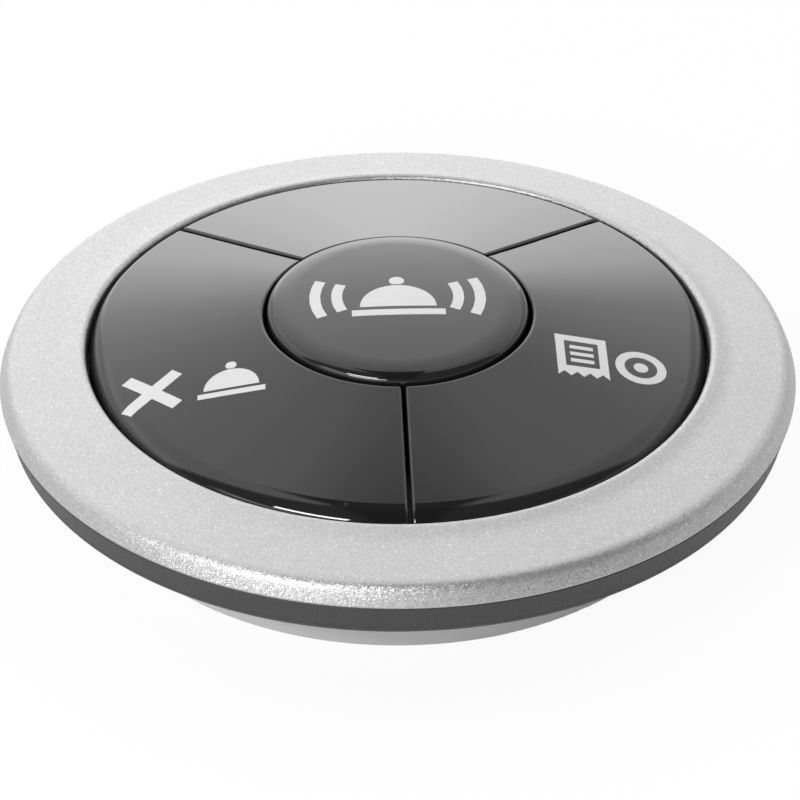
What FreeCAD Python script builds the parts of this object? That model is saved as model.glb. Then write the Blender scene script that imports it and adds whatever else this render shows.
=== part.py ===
"""Round table-top call button: a dished silver ring holds three press keys and a fixed rear panel.

All lengths are millimetres. The origin is the centre of the footprint, on the table top, and +Z is up.
The front seam between the two side keys points along -Y. The body is a stack that splits level by level:
the ring and its key frame on top, the dark band in the middle, and a pale foot that holds the battery below.
"""

import FreeCAD, Part
import os
from math import asin, cos, degrees, radians, sin, sqrt, tan

# Silver ring
body_radius = 44.0
ring_height = 2.53
ring_wall = 2.0
wall_lean_angle = 22.0
shoulder_rounding = 1.0
ring_slope_angle = 9.3
hollow_radius = 25.0
hollow_width = 3.3
lip_rounding = 0.3
ring_edge_rounding = 0.2
seat_depth = 0.85

# Key face: a shallow cone with a round call key in the middle
call_key_radius = 14.45
face_rim_rise = 1.54
face_slope_angle = 12.2
key_gap = 0.35
rim_gap = 0.3
key_wall = 1.6
key_travel = 0.5
skirt_gap = 0.2
sector_rounding = 3.0
sector_inner_rounding = 0.5
sector_side_rounding = 0.35
upright_tolerance_angle = 1.0
front_seam_angle = -90.0
right_seam_angle = 45.0
left_seam_angle = 135.0

# Call key
call_key_rise = 1.45
call_edge_rounding = 1.2
call_shoulder_radius = 12.0
call_edge_angle = 14.0
call_dome_angle = 5.0

# Key posts, ribs and hooks
post_radius = 1.7
rib_thickness = 0.8
rib_reach = 7.0
rib_lift = 2.4
hook_width = 3.0
hook_thickness = 1.0
hook_inset = 0.3
hook_barb = 0.7
hook_play = 0.1
hook_floor_gap = 0.2
hook_root = 0.8
hook_slot_clearance = 0.25
outer_hook_spread_share = 0.36
inner_hook_spread_share = 0.3
call_hook_angles = (30.0, 150.0, 270.0)

# Key frame
frame_thickness = 1.2
frame_overlap = 0.8
frame_boss_radius = 2.5
frame_boss_clearance = 0.3
collar_wall = 0.9
collar_clearance = 0.45
collar_rise = 3.5
window_step = 0.7
switch_window_clearance = 0.7

# Dark lower housing
band_height = 4.05
band_inset = 0.1
band_taper = 0.8
band_rounding = 1.0
underside_rise = 1.1
housing_floor = 1.0
ledge_width = 3.6
ledge_thickness = 1.4
tongue_wall = 0.9
tongue_clearance = 0.2
boss_tongue_gap = 0.3
clamp_rib_wall = 1.0
boss_rib_gap = 0.2
hook_rib_gap = 0.5
foot_lip_wall = 1.1
foot_lip_height = 1.0
foot_lip_clearance = 0.4
foot_reveal = 0.6

# Pale foot, which is the base cover
foot_taper = 0.6
foot_floor = 1.8
foot_wall = 2.1
foot_rounding = 0.6

# Rubber pads under the foot
pad_radius = 4.0
pad_thickness = 1.2
pad_stand = 0.6
pad_circle_share = 0.785
pad_angles = (30.0, 150.0, 210.0, 330.0)
pad_clearance = 0.1

# Battery and its bay
battery_radius = 5.15
battery_length = 28.5
battery_rounding = 0.5
terminal_radius = 1.9
terminal_length = 0.7
battery_base_gap = 0.1
battery_relief_clearance = 0.25
relief_roof = 0.9
bay_wall = 1.2
bay_side_clearance = 0.3
bay_end_clearance = 0.2
bay_top_gap = 0.4
bay_rim_clearance = 0.3
contact_thickness = 0.4
contact_width = 7.0
contact_touch_gap = 0.05
contact_lift = 2.0
contact_leg_length = 2.1
contact_solder_gap = 0.05
leaf_depth = 2.2
leaf_rise = 6.2
leaf_tip_share = 0.45

# Sliding battery door
door_end_overlap = 0.75
door_side_overlap = 2.1
door_thickness = 1.6
door_clearance = 0.2
door_lift_clearance = 0.1
door_rim_rise = 3.7
door_tab_reach = 0.8
door_tab_thickness = 0.6
door_tab_length = 5.0
door_tab_inset = 1.4
door_travel = 7.0
pocket_roof = 1.1
pocket_margin = 2.4
grip_count = 5
grip_pitch = 1.8
grip_width = 0.8
grip_depth = 0.35
grip_half_length = 6.0
grip_edge_distance = 4.5

# Circuit board
board_thickness = 1.6
board_gap = 1.7
board_clearance = 0.5
notch_clearance = 0.45
notch_end_clearance = 0.35

# Tactile switches
switch_half_width = 3.0
switch_base_height = 3.3
switch_cover_thickness = 0.2
stem_rise = 1.5
plunger_radius = 1.7
plunger_clearance = 0.1
plunger_seat = 0.55
plunger_bottom_gap = 0.05
lead_half_width = 0.35
lead_thickness = 0.3
lead_spacing = 4.5
lead_tail = 1.2
lead_hole_clearance = 0.1

# Parts soldered on the board; most of their places are shares of its radius
chip_length = 4.9
chip_width = 3.9
chip_height = 1.4
chip_standoff = 0.1
chip_gap = 1.25
chip_lead_count = 4
chip_lead_pitch = 1.27
chip_lead_width = 0.4
chip_lead_reach = 1.05
chip_lead_thickness = 0.2
resonator_radius = 4.6
resonator_height = 3.3
resonator_flange_reach = 0.3
resonator_flange_height = 0.5
transistor_length = 2.9
transistor_width = 1.3
transistor_height = 1.0
chip_part_length = 2.0
chip_part_width = 1.25
resistor_height = 0.5
capacitor_height = 0.9
resonator_place_share = (0.324, -0.485)
transistor_place_shares = ((-0.235, 0.05), (-0.235, -0.05))
resistor_place_shares = ((-0.39, -0.52), (-0.39, -0.6), (-0.39, -0.68), (0.21, -0.31), (0.21, -0.38))
capacitor_place_shares = ((-0.25, -0.52), (-0.25, -0.6), (-0.25, -0.68), (-0.21, -0.31), (0.39, -0.71))
led_radius = 1.5
led_flange_reach = 0.4
led_flange_height = 0.8
led_body_height = 3.2
led_lead_spacing = 2.54
led_lead_radius = 0.25
antenna_wire_radius = 0.55
antenna_edge_distance = 1.5
antenna_contact_gap = 1.0
antenna_lift = 0.05
antenna_leg_tail = 0.5

# Screws
main_screw_radius = 1.3
main_screw_angles = (45.0, 135.0, 225.0, 315.0)
main_boss_radius = 2.2
main_seat_rise = 0.6
main_seat_wall = 1.2
main_head_radius = 2.4
main_head_height = 1.1
sleeve_wall = 1.0
cover_screw_radius = 1.2
cover_screw_angles = (2.0, 178.0, 230.0, 310.0)
cover_boss_radius = 2.7
cover_boss_inset = 0.5
cover_boss_gap = 0.3
cover_seat_rise = 0.7
cover_seat_wall = 1.7
cover_head_radius = 2.2
cover_head_height = 1.3
cover_column_wall = 0.8
lug_thickness = 1.7
board_screw_radius = 1.0
board_screw_circle_share = 0.78
board_screw_angles = (27.6, 152.4, 270.0)
board_head_radius = 1.9
board_head_height = 1.2
boss_roof = 0.8
frame_pilot_roof = 0.3
screw_clearance = 0.1
head_clearance = 0.3
pilot_overrun = 0.3
recess_width_share = 0.22
recess_reach_share = 0.62
recess_depth_share = 0.55

# One overrun past a face serves every cut
overrun = 1.0

# Radii, from the outside in
tongue_radius = body_radius - ring_wall - tongue_clearance
main_screw_circle_radius = tongue_radius - tongue_wall - boss_tongue_gap - main_boss_radius
clamp_rib_radius = main_screw_circle_radius - main_boss_radius - boss_rib_gap - clamp_rib_wall
sector_outer_radius = clamp_rib_radius - hook_rib_gap - hook_barb + hook_inset
opening_radius = sector_outer_radius + rim_gap
well_radius = call_key_radius + key_gap
sector_switch_radius = (well_radius + sector_outer_radius) / 2
frame_radius = clamp_rib_radius + clamp_rib_wall + frame_overlap
collar_radius = call_key_radius - key_wall - collar_clearance
frame_window_radius = collar_radius - collar_wall - window_step
band_radius = body_radius - band_inset
housing_opening_radius = clamp_rib_radius - ledge_width
foot_top_radius = housing_opening_radius + foot_lip_wall + foot_lip_clearance + foot_wall
foot_bottom_radius = foot_top_radius - foot_taper
board_radius = housing_opening_radius - board_clearance
board_screw_circle_radius = board_radius * board_screw_circle_share
cover_screw_circle_radius = housing_opening_radius - cover_boss_inset - cover_boss_radius
pad_circle_radius = foot_bottom_radius * pad_circle_share
antenna_circle_radius = board_radius - antenna_edge_distance

# Heights, from the table up to the top of the battery, and then down and up from the frame above it
foot_bottom_height = pad_stand
foot_floor_height = foot_bottom_height + foot_floor
door_top_height = foot_bottom_height + door_thickness
pocket_roof_height = door_top_height + door_lift_clearance + pocket_roof
battery_centre_height = door_top_height + battery_base_gap + battery_radius
ring_seat_height = battery_centre_height + battery_radius + battery_relief_clearance + relief_roof
ring_bottom_height = ring_seat_height - seat_depth
shoulder_height = ring_bottom_height + ring_height
band_bottom_height = ring_bottom_height - band_height
housing_base_height = band_bottom_height - underside_rise
housing_floor_height = band_bottom_height + housing_floor
housing_ledge_height = housing_base_height + ledge_thickness
frame_bottom_height = ring_seat_height - frame_thickness
board_top_height = frame_bottom_height - board_gap
board_bottom_height = board_top_height - board_thickness
bay_wall_height = board_bottom_height - bay_top_gap
switch_cover_height = board_top_height + switch_base_height
plunger_top_height = switch_cover_height + switch_cover_thickness + stem_rise
skirt_height = ring_seat_height + key_travel + skirt_gap
hook_tip_height = board_top_height + key_travel + hook_floor_gap
hook_barb_top = frame_bottom_height - hook_play
main_seat_height = band_bottom_height + main_seat_rise
main_boss_bottom_height = main_seat_height + main_seat_wall
cover_seat_height = foot_floor_height + cover_seat_rise
cover_boss_bottom_height = cover_seat_height + cover_seat_wall
cover_boss_top_height = board_bottom_height - cover_boss_gap

# Key face, raised from its outer edge in to the call key
face_tangent = tan(radians(face_slope_angle))
face_cosine = cos(radians(face_slope_angle))
face_rim_height = shoulder_height + face_rim_rise
face_inner_height = face_rim_height + (sector_outer_radius - well_radius) * face_tangent
call_key_top = face_inner_height + call_key_rise

# Battery bay and door, as far out as the housing lets the bay's corner go
bay_near_x = battery_length / 2 + leaf_depth + bay_end_clearance
bay_far_x = battery_length / 2 + contact_touch_gap + contact_thickness + bay_end_clearance
bay_half_depth = battery_radius + bay_side_clearance
bay_reach = housing_opening_radius - bay_rim_clearance
battery_centre_y = sqrt(bay_reach ** 2 - bay_near_x ** 2) - bay_half_depth - bay_wall
door_half_width = bay_near_x + door_end_overlap
door_inner_y = battery_centre_y - bay_half_depth - door_side_overlap
board_notch_half_width = bay_near_x + bay_wall + notch_end_clearance
board_notch_y = battery_centre_y - battery_radius - notch_clearance
antenna_limit_angle = degrees(
    asin((battery_centre_y - contact_width / 2 - antenna_contact_gap) / antenna_circle_radius))


def vector(x, y, z):
    return FreeCAD.Vector(x, y, z)


def around(radius, angle):
    """Plan position at a radius and a compass angle from +X."""
    return (radius * cos(radians(angle)), radius * sin(radians(angle)))


def ring_of_places(radius, angles):
    return [around(radius, angle) for angle in angles]


def on_board(shares):
    """Plan place of a soldered part, given as shares of the board's radius."""
    return (shares[0] * board_radius, shares[1] * board_radius)


def on_circle(centre, radius, angle):
    """Point of a circle in the section plane; the angle is measured from the outward direction."""
    return (centre[0] + radius * cos(radians(angle)), centre[1] + radius * sin(radians(angle)))


def arc(centre, radius, start, end):
    """The two points that carry an outline round an arc: halfway along it, and its end."""
    return (on_circle(centre, radius, (start + end) / 2), on_circle(centre, radius, end))


def outline_face(steps, place):
    """Closed face from corner points and arcs; place turns a pair of section sizes into a vector."""
    start = steps[0]
    here = start
    edges = []
    for step in list(steps[1:]) + [start]:
        if isinstance(step[0], tuple):
            through, end = step
            edges.append(Part.Arc(place(here), place(through), place(end)).toShape())
        else:
            end = step
            if abs(end[0] - here[0]) + abs(end[1] - here[1]) == 0:
                continue
            edges.append(Part.LineSegment(place(here), place(end)).toShape())
        here = end
    return Part.Face(Part.Wire(edges))


def turned(steps):
    """Solid of revolution about the Z axis from (radius, height) steps."""
    face = outline_face(steps, lambda p: vector(p[0], 0, p[1]))
    return face.revolve(vector(0, 0, 0), vector(0, 0, 1), 360)


def rod(radius, low, high, place=(0.0, 0.0)):
    return Part.makeCylinder(radius, high - low, vector(place[0], place[1], low), vector(0, 0, 1))


def tube(outer_radius, inner_radius, low, high):
    return rod(outer_radius, low, high).cut(rod(inner_radius, low, high))


def block(low, high):
    """Box between two opposite corners."""
    size = [b - a for a, b in zip(low, high)]
    return Part.makeBox(size[0], size[1], size[2], vector(*low))


def upright_block(half_x, half_y, low, high, place):
    """Box centred on a plan position, between two heights."""
    x, y = place
    return block((x - half_x, y - half_y, low), (x + half_x, y + half_y, high))


def swung(shape, angle):
    """Copy of a shape built along +X, turned about Z to a compass angle."""
    copy = shape.copy()
    copy.rotate(vector(0, 0, 0), vector(0, 0, 1), angle)
    return copy


def wedge(start, end, margin):
    """Tall prism between two radial planes, each moved inwards by a margin."""
    middle = (start + end) / 2
    tip = around(margin / sin(radians((end - start) / 2)), middle)
    reach = (body_radius + overrun) / cos(radians((end - start) / 4))
    corners = [tip]
    for angle in (start, middle, end):
        x, y = around(reach, angle)
        corners.append((tip[0] + x, tip[1] + y))
    face = outline_face(corners, lambda p: vector(p[0], p[1], 0))
    return face.extrude(vector(0, 0, call_key_top))


def fused(first, others):
    """One clean solid from overlapping ones."""
    others = list(others)
    return first.fuse(others).removeSplitter() if others else first


def save(shape, node):
    """Writes one node's solids, after making sure that each is closed."""
    solids = shape.Solids
    if not solids or not all(s.isValid() and s.isClosed() for s in solids):
        raise ValueError("%s is not a closed solid" % node)
    whole = solids[0] if len(solids) == 1 else Part.makeCompound(solids)
    whole.exportStep("parts/%s.step" % node)
    print("%-26s %2d solid(s) %10.2f mm3" % (node, len(solids), whole.Volume))


# Silver ring


def ring_outline():
    """Section of the ring: lip, hollow, slope, rounded shoulder and leaning wall, over a flat seat."""
    edge = (body_radius - ring_edge_rounding, ring_bottom_height + ring_edge_rounding)
    centre_height = shoulder_height - shoulder_rounding
    across = shoulder_rounding - ring_edge_rounding
    along = (centre_height - edge[1]) * sin(radians(wall_lean_angle))
    shoulder = (edge[0] - (across + along) / cos(radians(wall_lean_angle)), centre_height)
    slope_top = on_circle(shoulder, shoulder_rounding, 90 - ring_slope_angle)
    hollow_end_radius = opening_radius + hollow_width
    fall = tan(radians(ring_slope_angle))
    hollow_end = (hollow_end_radius, slope_top[1] + (slope_top[0] - hollow_end_radius) * fall)
    hollow = on_circle(hollow_end, hollow_radius, 90 - ring_slope_angle)
    reach = hollow[0] - opening_radius - lip_rounding
    lip_slope = degrees(asin(reach / (hollow_radius + lip_rounding)))
    lip_start = on_circle(hollow, hollow_radius, 270 - lip_slope)
    lip = on_circle(lip_start, lip_rounding, 270 - lip_slope)
    inner_wall_radius = body_radius - ring_wall
    return [
        (opening_radius, ring_seat_height),
        (opening_radius, lip[1]),
        arc(lip, lip_rounding, 180, 90 - lip_slope),
        arc(hollow, hollow_radius, 270 - lip_slope, 270 - ring_slope_angle),
        slope_top,
        arc(shoulder, shoulder_rounding, 90 - ring_slope_angle, wall_lean_angle),
        on_circle(edge, ring_edge_rounding, wall_lean_angle),
        arc(edge, ring_edge_rounding, wall_lean_angle, -90),
        (inner_wall_radius, ring_bottom_height),
        (inner_wall_radius, ring_seat_height),
    ]


def bezel_ring():
    """Moulded ring with four screw bosses under it."""
    ring = turned(ring_outline())
    places = ring_of_places(main_screw_circle_radius, main_screw_angles)
    bosses = [rod(main_boss_radius, main_boss_bottom_height, ring_seat_height, p) for p in places]
    pilot_radius = main_screw_radius + screw_clearance / 2
    pilot_top = shoulder_height - boss_roof
    pilots = [rod(pilot_radius, main_boss_bottom_height - overrun, pilot_top, p) for p in places]
    return fused(ring, bosses).cut(pilots)


# Keys and rear panel


def face_height(radius):
    """Height of the conical key face at a radius."""
    return face_inner_height - (radius - well_radius) * face_tangent


def outer_rounding():
    """Radius and centre of a side key's outer rounding, which ends above its skirt's lower edge."""
    room = (face_rim_height - skirt_height) / (1 / face_cosine - face_tangent)
    rounding = min(sector_rounding, room)
    centre_radius = sector_outer_radius - rounding
    return rounding, (centre_radius, face_height(centre_radius) - rounding / face_cosine)


def sector_outline():
    """Section of a side key: inner edge, conical top, and the large outer rounding."""
    inner = (
        well_radius + sector_inner_rounding,
        face_inner_height - sector_inner_rounding * (1 / face_cosine + face_tangent),
    )
    rounding, outer = outer_rounding()
    return [
        (well_radius, skirt_height),
        (well_radius, inner[1]),
        arc(inner, sector_inner_rounding, 180, 90 - face_slope_angle),
        on_circle(outer, rounding, 90 - face_slope_angle),
        arc(outer, rounding, 90 - face_slope_angle, 0),
        (sector_outer_radius, skirt_height),
    ]


def sector_hollow_outline():
    """Section of the space inside a side key, one wall in from its outside."""
    rounding, outer = outer_rounding()
    inner_radius = well_radius + key_wall
    inner_rounding = rounding - key_wall
    return [
        (inner_radius, skirt_height - overrun),
        (inner_radius, face_height(inner_radius) - key_wall / face_cosine),
        on_circle(outer, inner_rounding, 90 - face_slope_angle),
        arc(outer, inner_rounding, 90 - face_slope_angle, 0),
        (sector_outer_radius - key_wall, skirt_height - overrun),
    ]


def hook(leg_inner_radius, barb_side, angle):
    """Springy leg with a barb that catches under the key frame; barb_side is 1 outwards, -1 inwards."""
    leg_outer_radius = leg_inner_radius + hook_thickness
    half = hook_width / 2
    leg = block(
        (leg_inner_radius, -half, hook_tip_height),
        (leg_outer_radius, half, skirt_height + hook_root),
    )
    root = leg_outer_radius if barb_side > 0 else leg_inner_radius
    corners = [(root, hook_tip_height), (root + barb_side * hook_barb, hook_barb_top), (root, hook_barb_top)]
    barb = outline_face(corners, lambda p: vector(p[0], -half, p[1])).extrude(vector(0, hook_width, 0))
    return swung(leg.fuse(barb), angle)


def hook_slot(leg_inner_radius, angle):
    """Window in the frame floor that one hook passes through."""
    half = hook_width / 2 + hook_slot_clearance
    low = (leg_inner_radius - hook_slot_clearance, -half, frame_bottom_height - overrun)
    high = (leg_inner_radius + hook_thickness + hook_slot_clearance, half, ring_seat_height + overrun)
    return swung(block(low, high), angle)


def sector_hooks(start, end):
    """Leg radius, barb side and angle of a side piece's hooks: two at the rim, two at the call key."""
    outer_leg = sector_outer_radius - hook_inset - hook_thickness
    inner_leg = well_radius + hook_inset
    middle = (start + end) / 2
    hooks = []
    for leg, share in ((outer_leg, outer_hook_spread_share), (inner_leg, inner_hook_spread_share)):
        spread = (end - start) * share
        hooks += [(leg, 1, middle - spread), (leg, 1, middle + spread)]
    return hooks


def call_hooks():
    """The call key's three hooks, turned to stand clear of the side keys' inner hooks."""
    leg = call_key_radius - hook_inset - hook_thickness
    return [(leg, -1, angle) for angle in call_hook_angles]


def cross_ribs(place):
    """Two crossed stiffening ribs under a key, to be trimmed by the key's own outside."""
    half = rib_thickness / 2
    low = skirt_height + rib_lift
    return [
        upright_block(rib_reach, half, low, call_key_top, place),
        upright_block(half, rib_reach, low, call_key_top, place),
    ]


def sector_cap(start, end, place=None):
    """Moulded cap between two seams; with a place it gets ribs and a post over the switch there."""
    solid = turned(sector_outline()).common(wedge(start, end, key_gap / 2)).Solids[0]
    edges = []
    for face in solid.Faces:
        flat = isinstance(face.Surface, Part.Plane)
        if flat and abs(face.normalAt(0, 0).z) < sin(radians(upright_tolerance_angle)):
            edges += [e for e in face.Edges if e.CenterOfMass.z > skirt_height + sector_side_rounding / 2]
    solid = solid.makeFillet(sector_side_rounding, edges)
    hollow = turned(sector_hollow_outline()).common(wedge(start, end, key_gap / 2 + key_wall))
    inside = []
    if place is not None:
        core = hollow.fuse(solid)
        post = rod(post_radius, plunger_top_height, face_inner_height, place)
        inside = [piece.common(core) for piece in [post] + cross_ribs(place)]
    hooks = [hook(*spec) for spec in sector_hooks(start, end)]
    return fused(solid.cut(hollow), inside + hooks)


def call_key_sections():
    """Centres and joints of the call key's three tangent arcs: edge, shoulder and dome."""
    edge_turn = 90 - call_edge_angle
    dome_turn = 90 - call_dome_angle
    edge_centre_radius = call_key_radius - call_edge_rounding
    joint_radius = edge_centre_radius + call_edge_rounding * cos(radians(edge_turn))
    shoulder_centre_radius = joint_radius - call_shoulder_radius * cos(radians(edge_turn))
    dome_joint_radius = shoulder_centre_radius + call_shoulder_radius * cos(radians(dome_turn))
    dome_radius = dome_joint_radius / cos(radians(dome_turn))
    dome = (0.0, call_key_top - dome_radius)
    dome_joint = on_circle(dome, dome_radius, dome_turn)
    shoulder = (shoulder_centre_radius, dome_joint[1] - call_shoulder_radius * sin(radians(dome_turn)))
    joint = on_circle(shoulder, call_shoulder_radius, edge_turn)
    edge = (edge_centre_radius, joint[1] - call_edge_rounding * sin(radians(edge_turn)))
    return edge, shoulder, dome, dome_radius


def call_key():
    """Round domed cap with a rolled edge, a post over the middle switch and three hooks."""
    edge, shoulder, dome, dome_radius = call_key_sections()
    edge_turn = 90 - call_edge_angle
    dome_turn = 90 - call_dome_angle
    solid = turned([
        (0.0, skirt_height),
        (call_key_radius, skirt_height),
        (call_key_radius, edge[1]),
        arc(edge, call_edge_rounding, 0, edge_turn),
        arc(shoulder, call_shoulder_radius, edge_turn, dome_turn),
        arc(dome, dome_radius, dome_turn, 90),
    ])
    inner_radius = call_key_radius - key_wall
    under_radius = dome_radius - key_wall
    under_turn = 90 - degrees(asin(inner_radius / under_radius))
    hollow = turned([
        (0.0, skirt_height - overrun),
        (inner_radius, skirt_height - overrun),
        on_circle(dome, under_radius, under_turn),
        arc(dome, under_radius, under_turn, 90),
    ])
    post = rod(post_radius, plunger_top_height, call_key_top).common(solid)
    hooks = [hook(*spec) for spec in call_hooks()]
    return fused(solid.cut(hollow), [post] + hooks)


def switch_places():
    """Plan places of the three switches: call, left and right."""
    return {
        "call": (0.0, 0.0),
        "cancel": around(sector_switch_radius, (left_seam_angle + front_seam_angle + 360) / 2),
        "bill": around(sector_switch_radius, (front_seam_angle + right_seam_angle) / 2),
    }


# Key frame


def key_frame():
    """Black carrier plate under the keys, with windows for the switches and slots for the hooks."""
    plate = rod(frame_radius, frame_bottom_height, ring_seat_height)
    collar_top = ring_seat_height + collar_rise
    collar = tube(collar_radius, collar_radius - collar_wall, ring_seat_height, collar_top)
    boss_places = ring_of_places(board_screw_circle_radius, board_screw_angles)
    bosses = [rod(frame_boss_radius, board_top_height, frame_bottom_height, p) for p in boss_places]
    frame = fused(plate, [collar] + bosses)
    cuts = [rod(frame_window_radius, frame_bottom_height - overrun, ring_seat_height + overrun)]
    half = switch_half_width + switch_window_clearance
    places = switch_places()
    for name in ("cancel", "bill"):
        cuts.append(upright_block(half, half, frame_bottom_height - overrun,
                                  ring_seat_height + overrun, places[name]))
    seams = (front_seam_angle, right_seam_angle, left_seam_angle, front_seam_angle + 360)
    for start, end in zip(seams, seams[1:]):
        cuts += [hook_slot(leg, angle) for leg, side, angle in sector_hooks(start, end)]
    cuts += [hook_slot(leg, angle) for leg, side, angle in call_hooks()]
    for place in ring_of_places(main_screw_circle_radius, main_screw_angles):
        cuts.append(rod(main_boss_radius + frame_boss_clearance, frame_bottom_height - overrun,
                        ring_seat_height + overrun, place))
    pilot_radius = board_screw_radius + screw_clearance / 2
    pilot_top = ring_seat_height - frame_pilot_roof
    cuts += [rod(pilot_radius, board_top_height - overrun, pilot_top, p) for p in boss_places]
    relief_half = battery_length / 2 + battery_relief_clearance
    cuts.append(Part.makeCylinder(battery_radius + battery_relief_clearance, 2 * relief_half,
                                  vector(-relief_half, battery_centre_y, battery_centre_height),
                                  vector(1, 0, 0)))
    return frame.cut(cuts).removeSplitter()


# Dark lower housing


def housing_outline():
    """Section of the housing: tapered band, shallow underside, lip for the foot, clamp rib and tongue."""
    low_radius = band_radius - band_taper
    rounding = (low_radius - band_rounding, band_bottom_height + band_rounding)
    lip_radius = housing_opening_radius + foot_lip_wall
    rib_outer = clamp_rib_radius + clamp_rib_wall
    edge = (band_radius - ring_edge_rounding, ring_bottom_height - ring_edge_rounding)
    return [
        (tongue_radius, ring_bottom_height),
        (edge[0], ring_bottom_height),
        arc(edge, ring_edge_rounding, 90, 0),
        (low_radius, rounding[1]),
        arc(rounding, band_rounding, 0, -90),
        (foot_top_radius + foot_reveal, housing_base_height),
        (lip_radius, housing_base_height),
        (lip_radius, housing_base_height - foot_lip_height),
        (housing_opening_radius, housing_base_height - foot_lip_height),
        (housing_opening_radius, housing_ledge_height),
        (clamp_rib_radius, housing_ledge_height),
        (clamp_rib_radius, frame_bottom_height),
        (rib_outer, frame_bottom_height),
        (rib_outer, housing_floor_height),
        (tongue_radius - tongue_wall, housing_floor_height),
        (tongue_radius - tongue_wall, ring_seat_height - tongue_clearance),
        (tongue_radius, ring_seat_height - tongue_clearance),
    ]


def lower_housing():
    """Ring-shaped tray with sleeves for the main screws and hanging bosses for the cover screws."""
    ring = turned(housing_outline())
    main_places = ring_of_places(main_screw_circle_radius, main_screw_angles)
    sleeve_radius = main_head_radius + head_clearance + sleeve_wall
    envelope = rod(tongue_radius, housing_floor_height - overrun, main_boss_bottom_height)
    sleeves = [rod(sleeve_radius, housing_floor_height - overrun, main_boss_bottom_height, p).common(envelope)
               for p in main_places]
    reach_in = rod(housing_opening_radius + foot_lip_wall / 2, cover_boss_bottom_height,
                   cover_boss_top_height)
    cover_places = ring_of_places(cover_screw_circle_radius, cover_screw_angles)
    bosses = [rod(cover_boss_radius, cover_boss_bottom_height, cover_boss_top_height, p)
              for p in cover_places]
    arm = block((cover_screw_circle_radius, -cover_boss_radius, cover_boss_top_height - lug_thickness),
                (housing_opening_radius + foot_lip_wall, cover_boss_radius, cover_boss_top_height))
    arms = [swung(arm.common(reach_in), angle) for angle in cover_screw_angles]
    body = fused(ring, sleeves + bosses + arms)
    cuts = []
    for place in main_places:
        cuts.append(rod(main_head_radius + head_clearance, housing_base_height - overrun,
                        main_seat_height, place))
        cuts.append(rod(main_screw_radius + screw_clearance, main_seat_height - overrun,
                        main_boss_bottom_height + overrun, place))
    pilot_radius = cover_screw_radius + screw_clearance / 2
    pilot_top = cover_boss_top_height - boss_roof
    for place in cover_places:
        cuts.append(rod(pilot_radius, cover_boss_bottom_height - overrun, pilot_top, place))
    return body.cut(cuts).removeSplitter()


# Pale foot and battery door


def foot_outline():
    """Section of the whole foot, before the door is taken out of it."""
    rounding = (foot_bottom_radius - foot_rounding, foot_bottom_height + foot_rounding)
    return [
        (0.0, foot_bottom_height),
        (rounding[0], foot_bottom_height),
        arc(rounding, foot_rounding, -90, 0),
        (foot_top_radius, housing_base_height),
        (foot_top_radius - foot_wall, housing_base_height),
        (foot_bottom_radius - foot_wall, foot_floor_height),
        (0.0, foot_floor_height),
    ]


def door_space(clearance, lift, rim_rise):
    """Space that the door's plate and its piece of the rim take up, grown by a clearance."""
    half = door_half_width + clearance
    low = foot_bottom_height - overrun
    plate = block((-half, door_inner_y - clearance, low), (half, body_radius, door_top_height + lift))
    rim_top = foot_bottom_height + rim_rise
    rim = block((-half, battery_centre_y, low), (half, body_radius, rim_top))
    inside = rod(foot_bottom_radius - foot_wall - clearance, low - overrun, rim_top + overrun)
    return plate.fuse(rim.cut(inside))


def door_tabs(clearance, travel):
    """Side tongues that hold the door up in the foot's grooves, grown by a clearance and a travel."""
    low_y = door_inner_y + door_tab_inset - clearance
    high_y = door_inner_y + door_tab_inset + door_tab_length + clearance + travel
    middle = foot_bottom_height + door_thickness / 2
    rise = (door_tab_thickness + clearance) / 2
    tabs = []
    for side in (-1, 1):
        near = side * (door_half_width - door_tab_reach)
        far = side * (door_half_width + door_tab_reach + clearance)
        tabs.append(block((min(near, far), low_y, middle - rise), (max(near, far), high_y, middle + rise)))
    return tabs


def battery_door():
    """Flat tongue with its part of the foot's rim, side tabs and finger grips underneath."""
    plate = turned(foot_outline()).common(door_space(0, 0, door_rim_rise))
    grips = []
    for i in range(grip_count):
        y = foot_bottom_radius - grip_edge_distance - i * grip_pitch
        grips.append(block((-grip_half_length, y - grip_width, foot_bottom_height - overrun),
                           (grip_half_length, y, foot_bottom_height + grip_depth)))
    return fused(plate, door_tabs(0, 0)).cut(grips)


def battery_bay():
    """Block of the walls that stand round the battery, and the opening that is cut through it."""
    near_y = battery_centre_y - bay_half_depth
    far_y = battery_centre_y + bay_half_depth
    low = pocket_roof_height - pocket_roof / 2
    walls = block((-bay_near_x - bay_wall, near_y - bay_wall, low),
                  (bay_far_x + bay_wall, far_y + bay_wall, bay_wall_height))
    opening = block((-bay_near_x, near_y, foot_bottom_height - overrun),
                    (bay_far_x, far_y, bay_wall_height + overrun))
    return walls, opening


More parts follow.
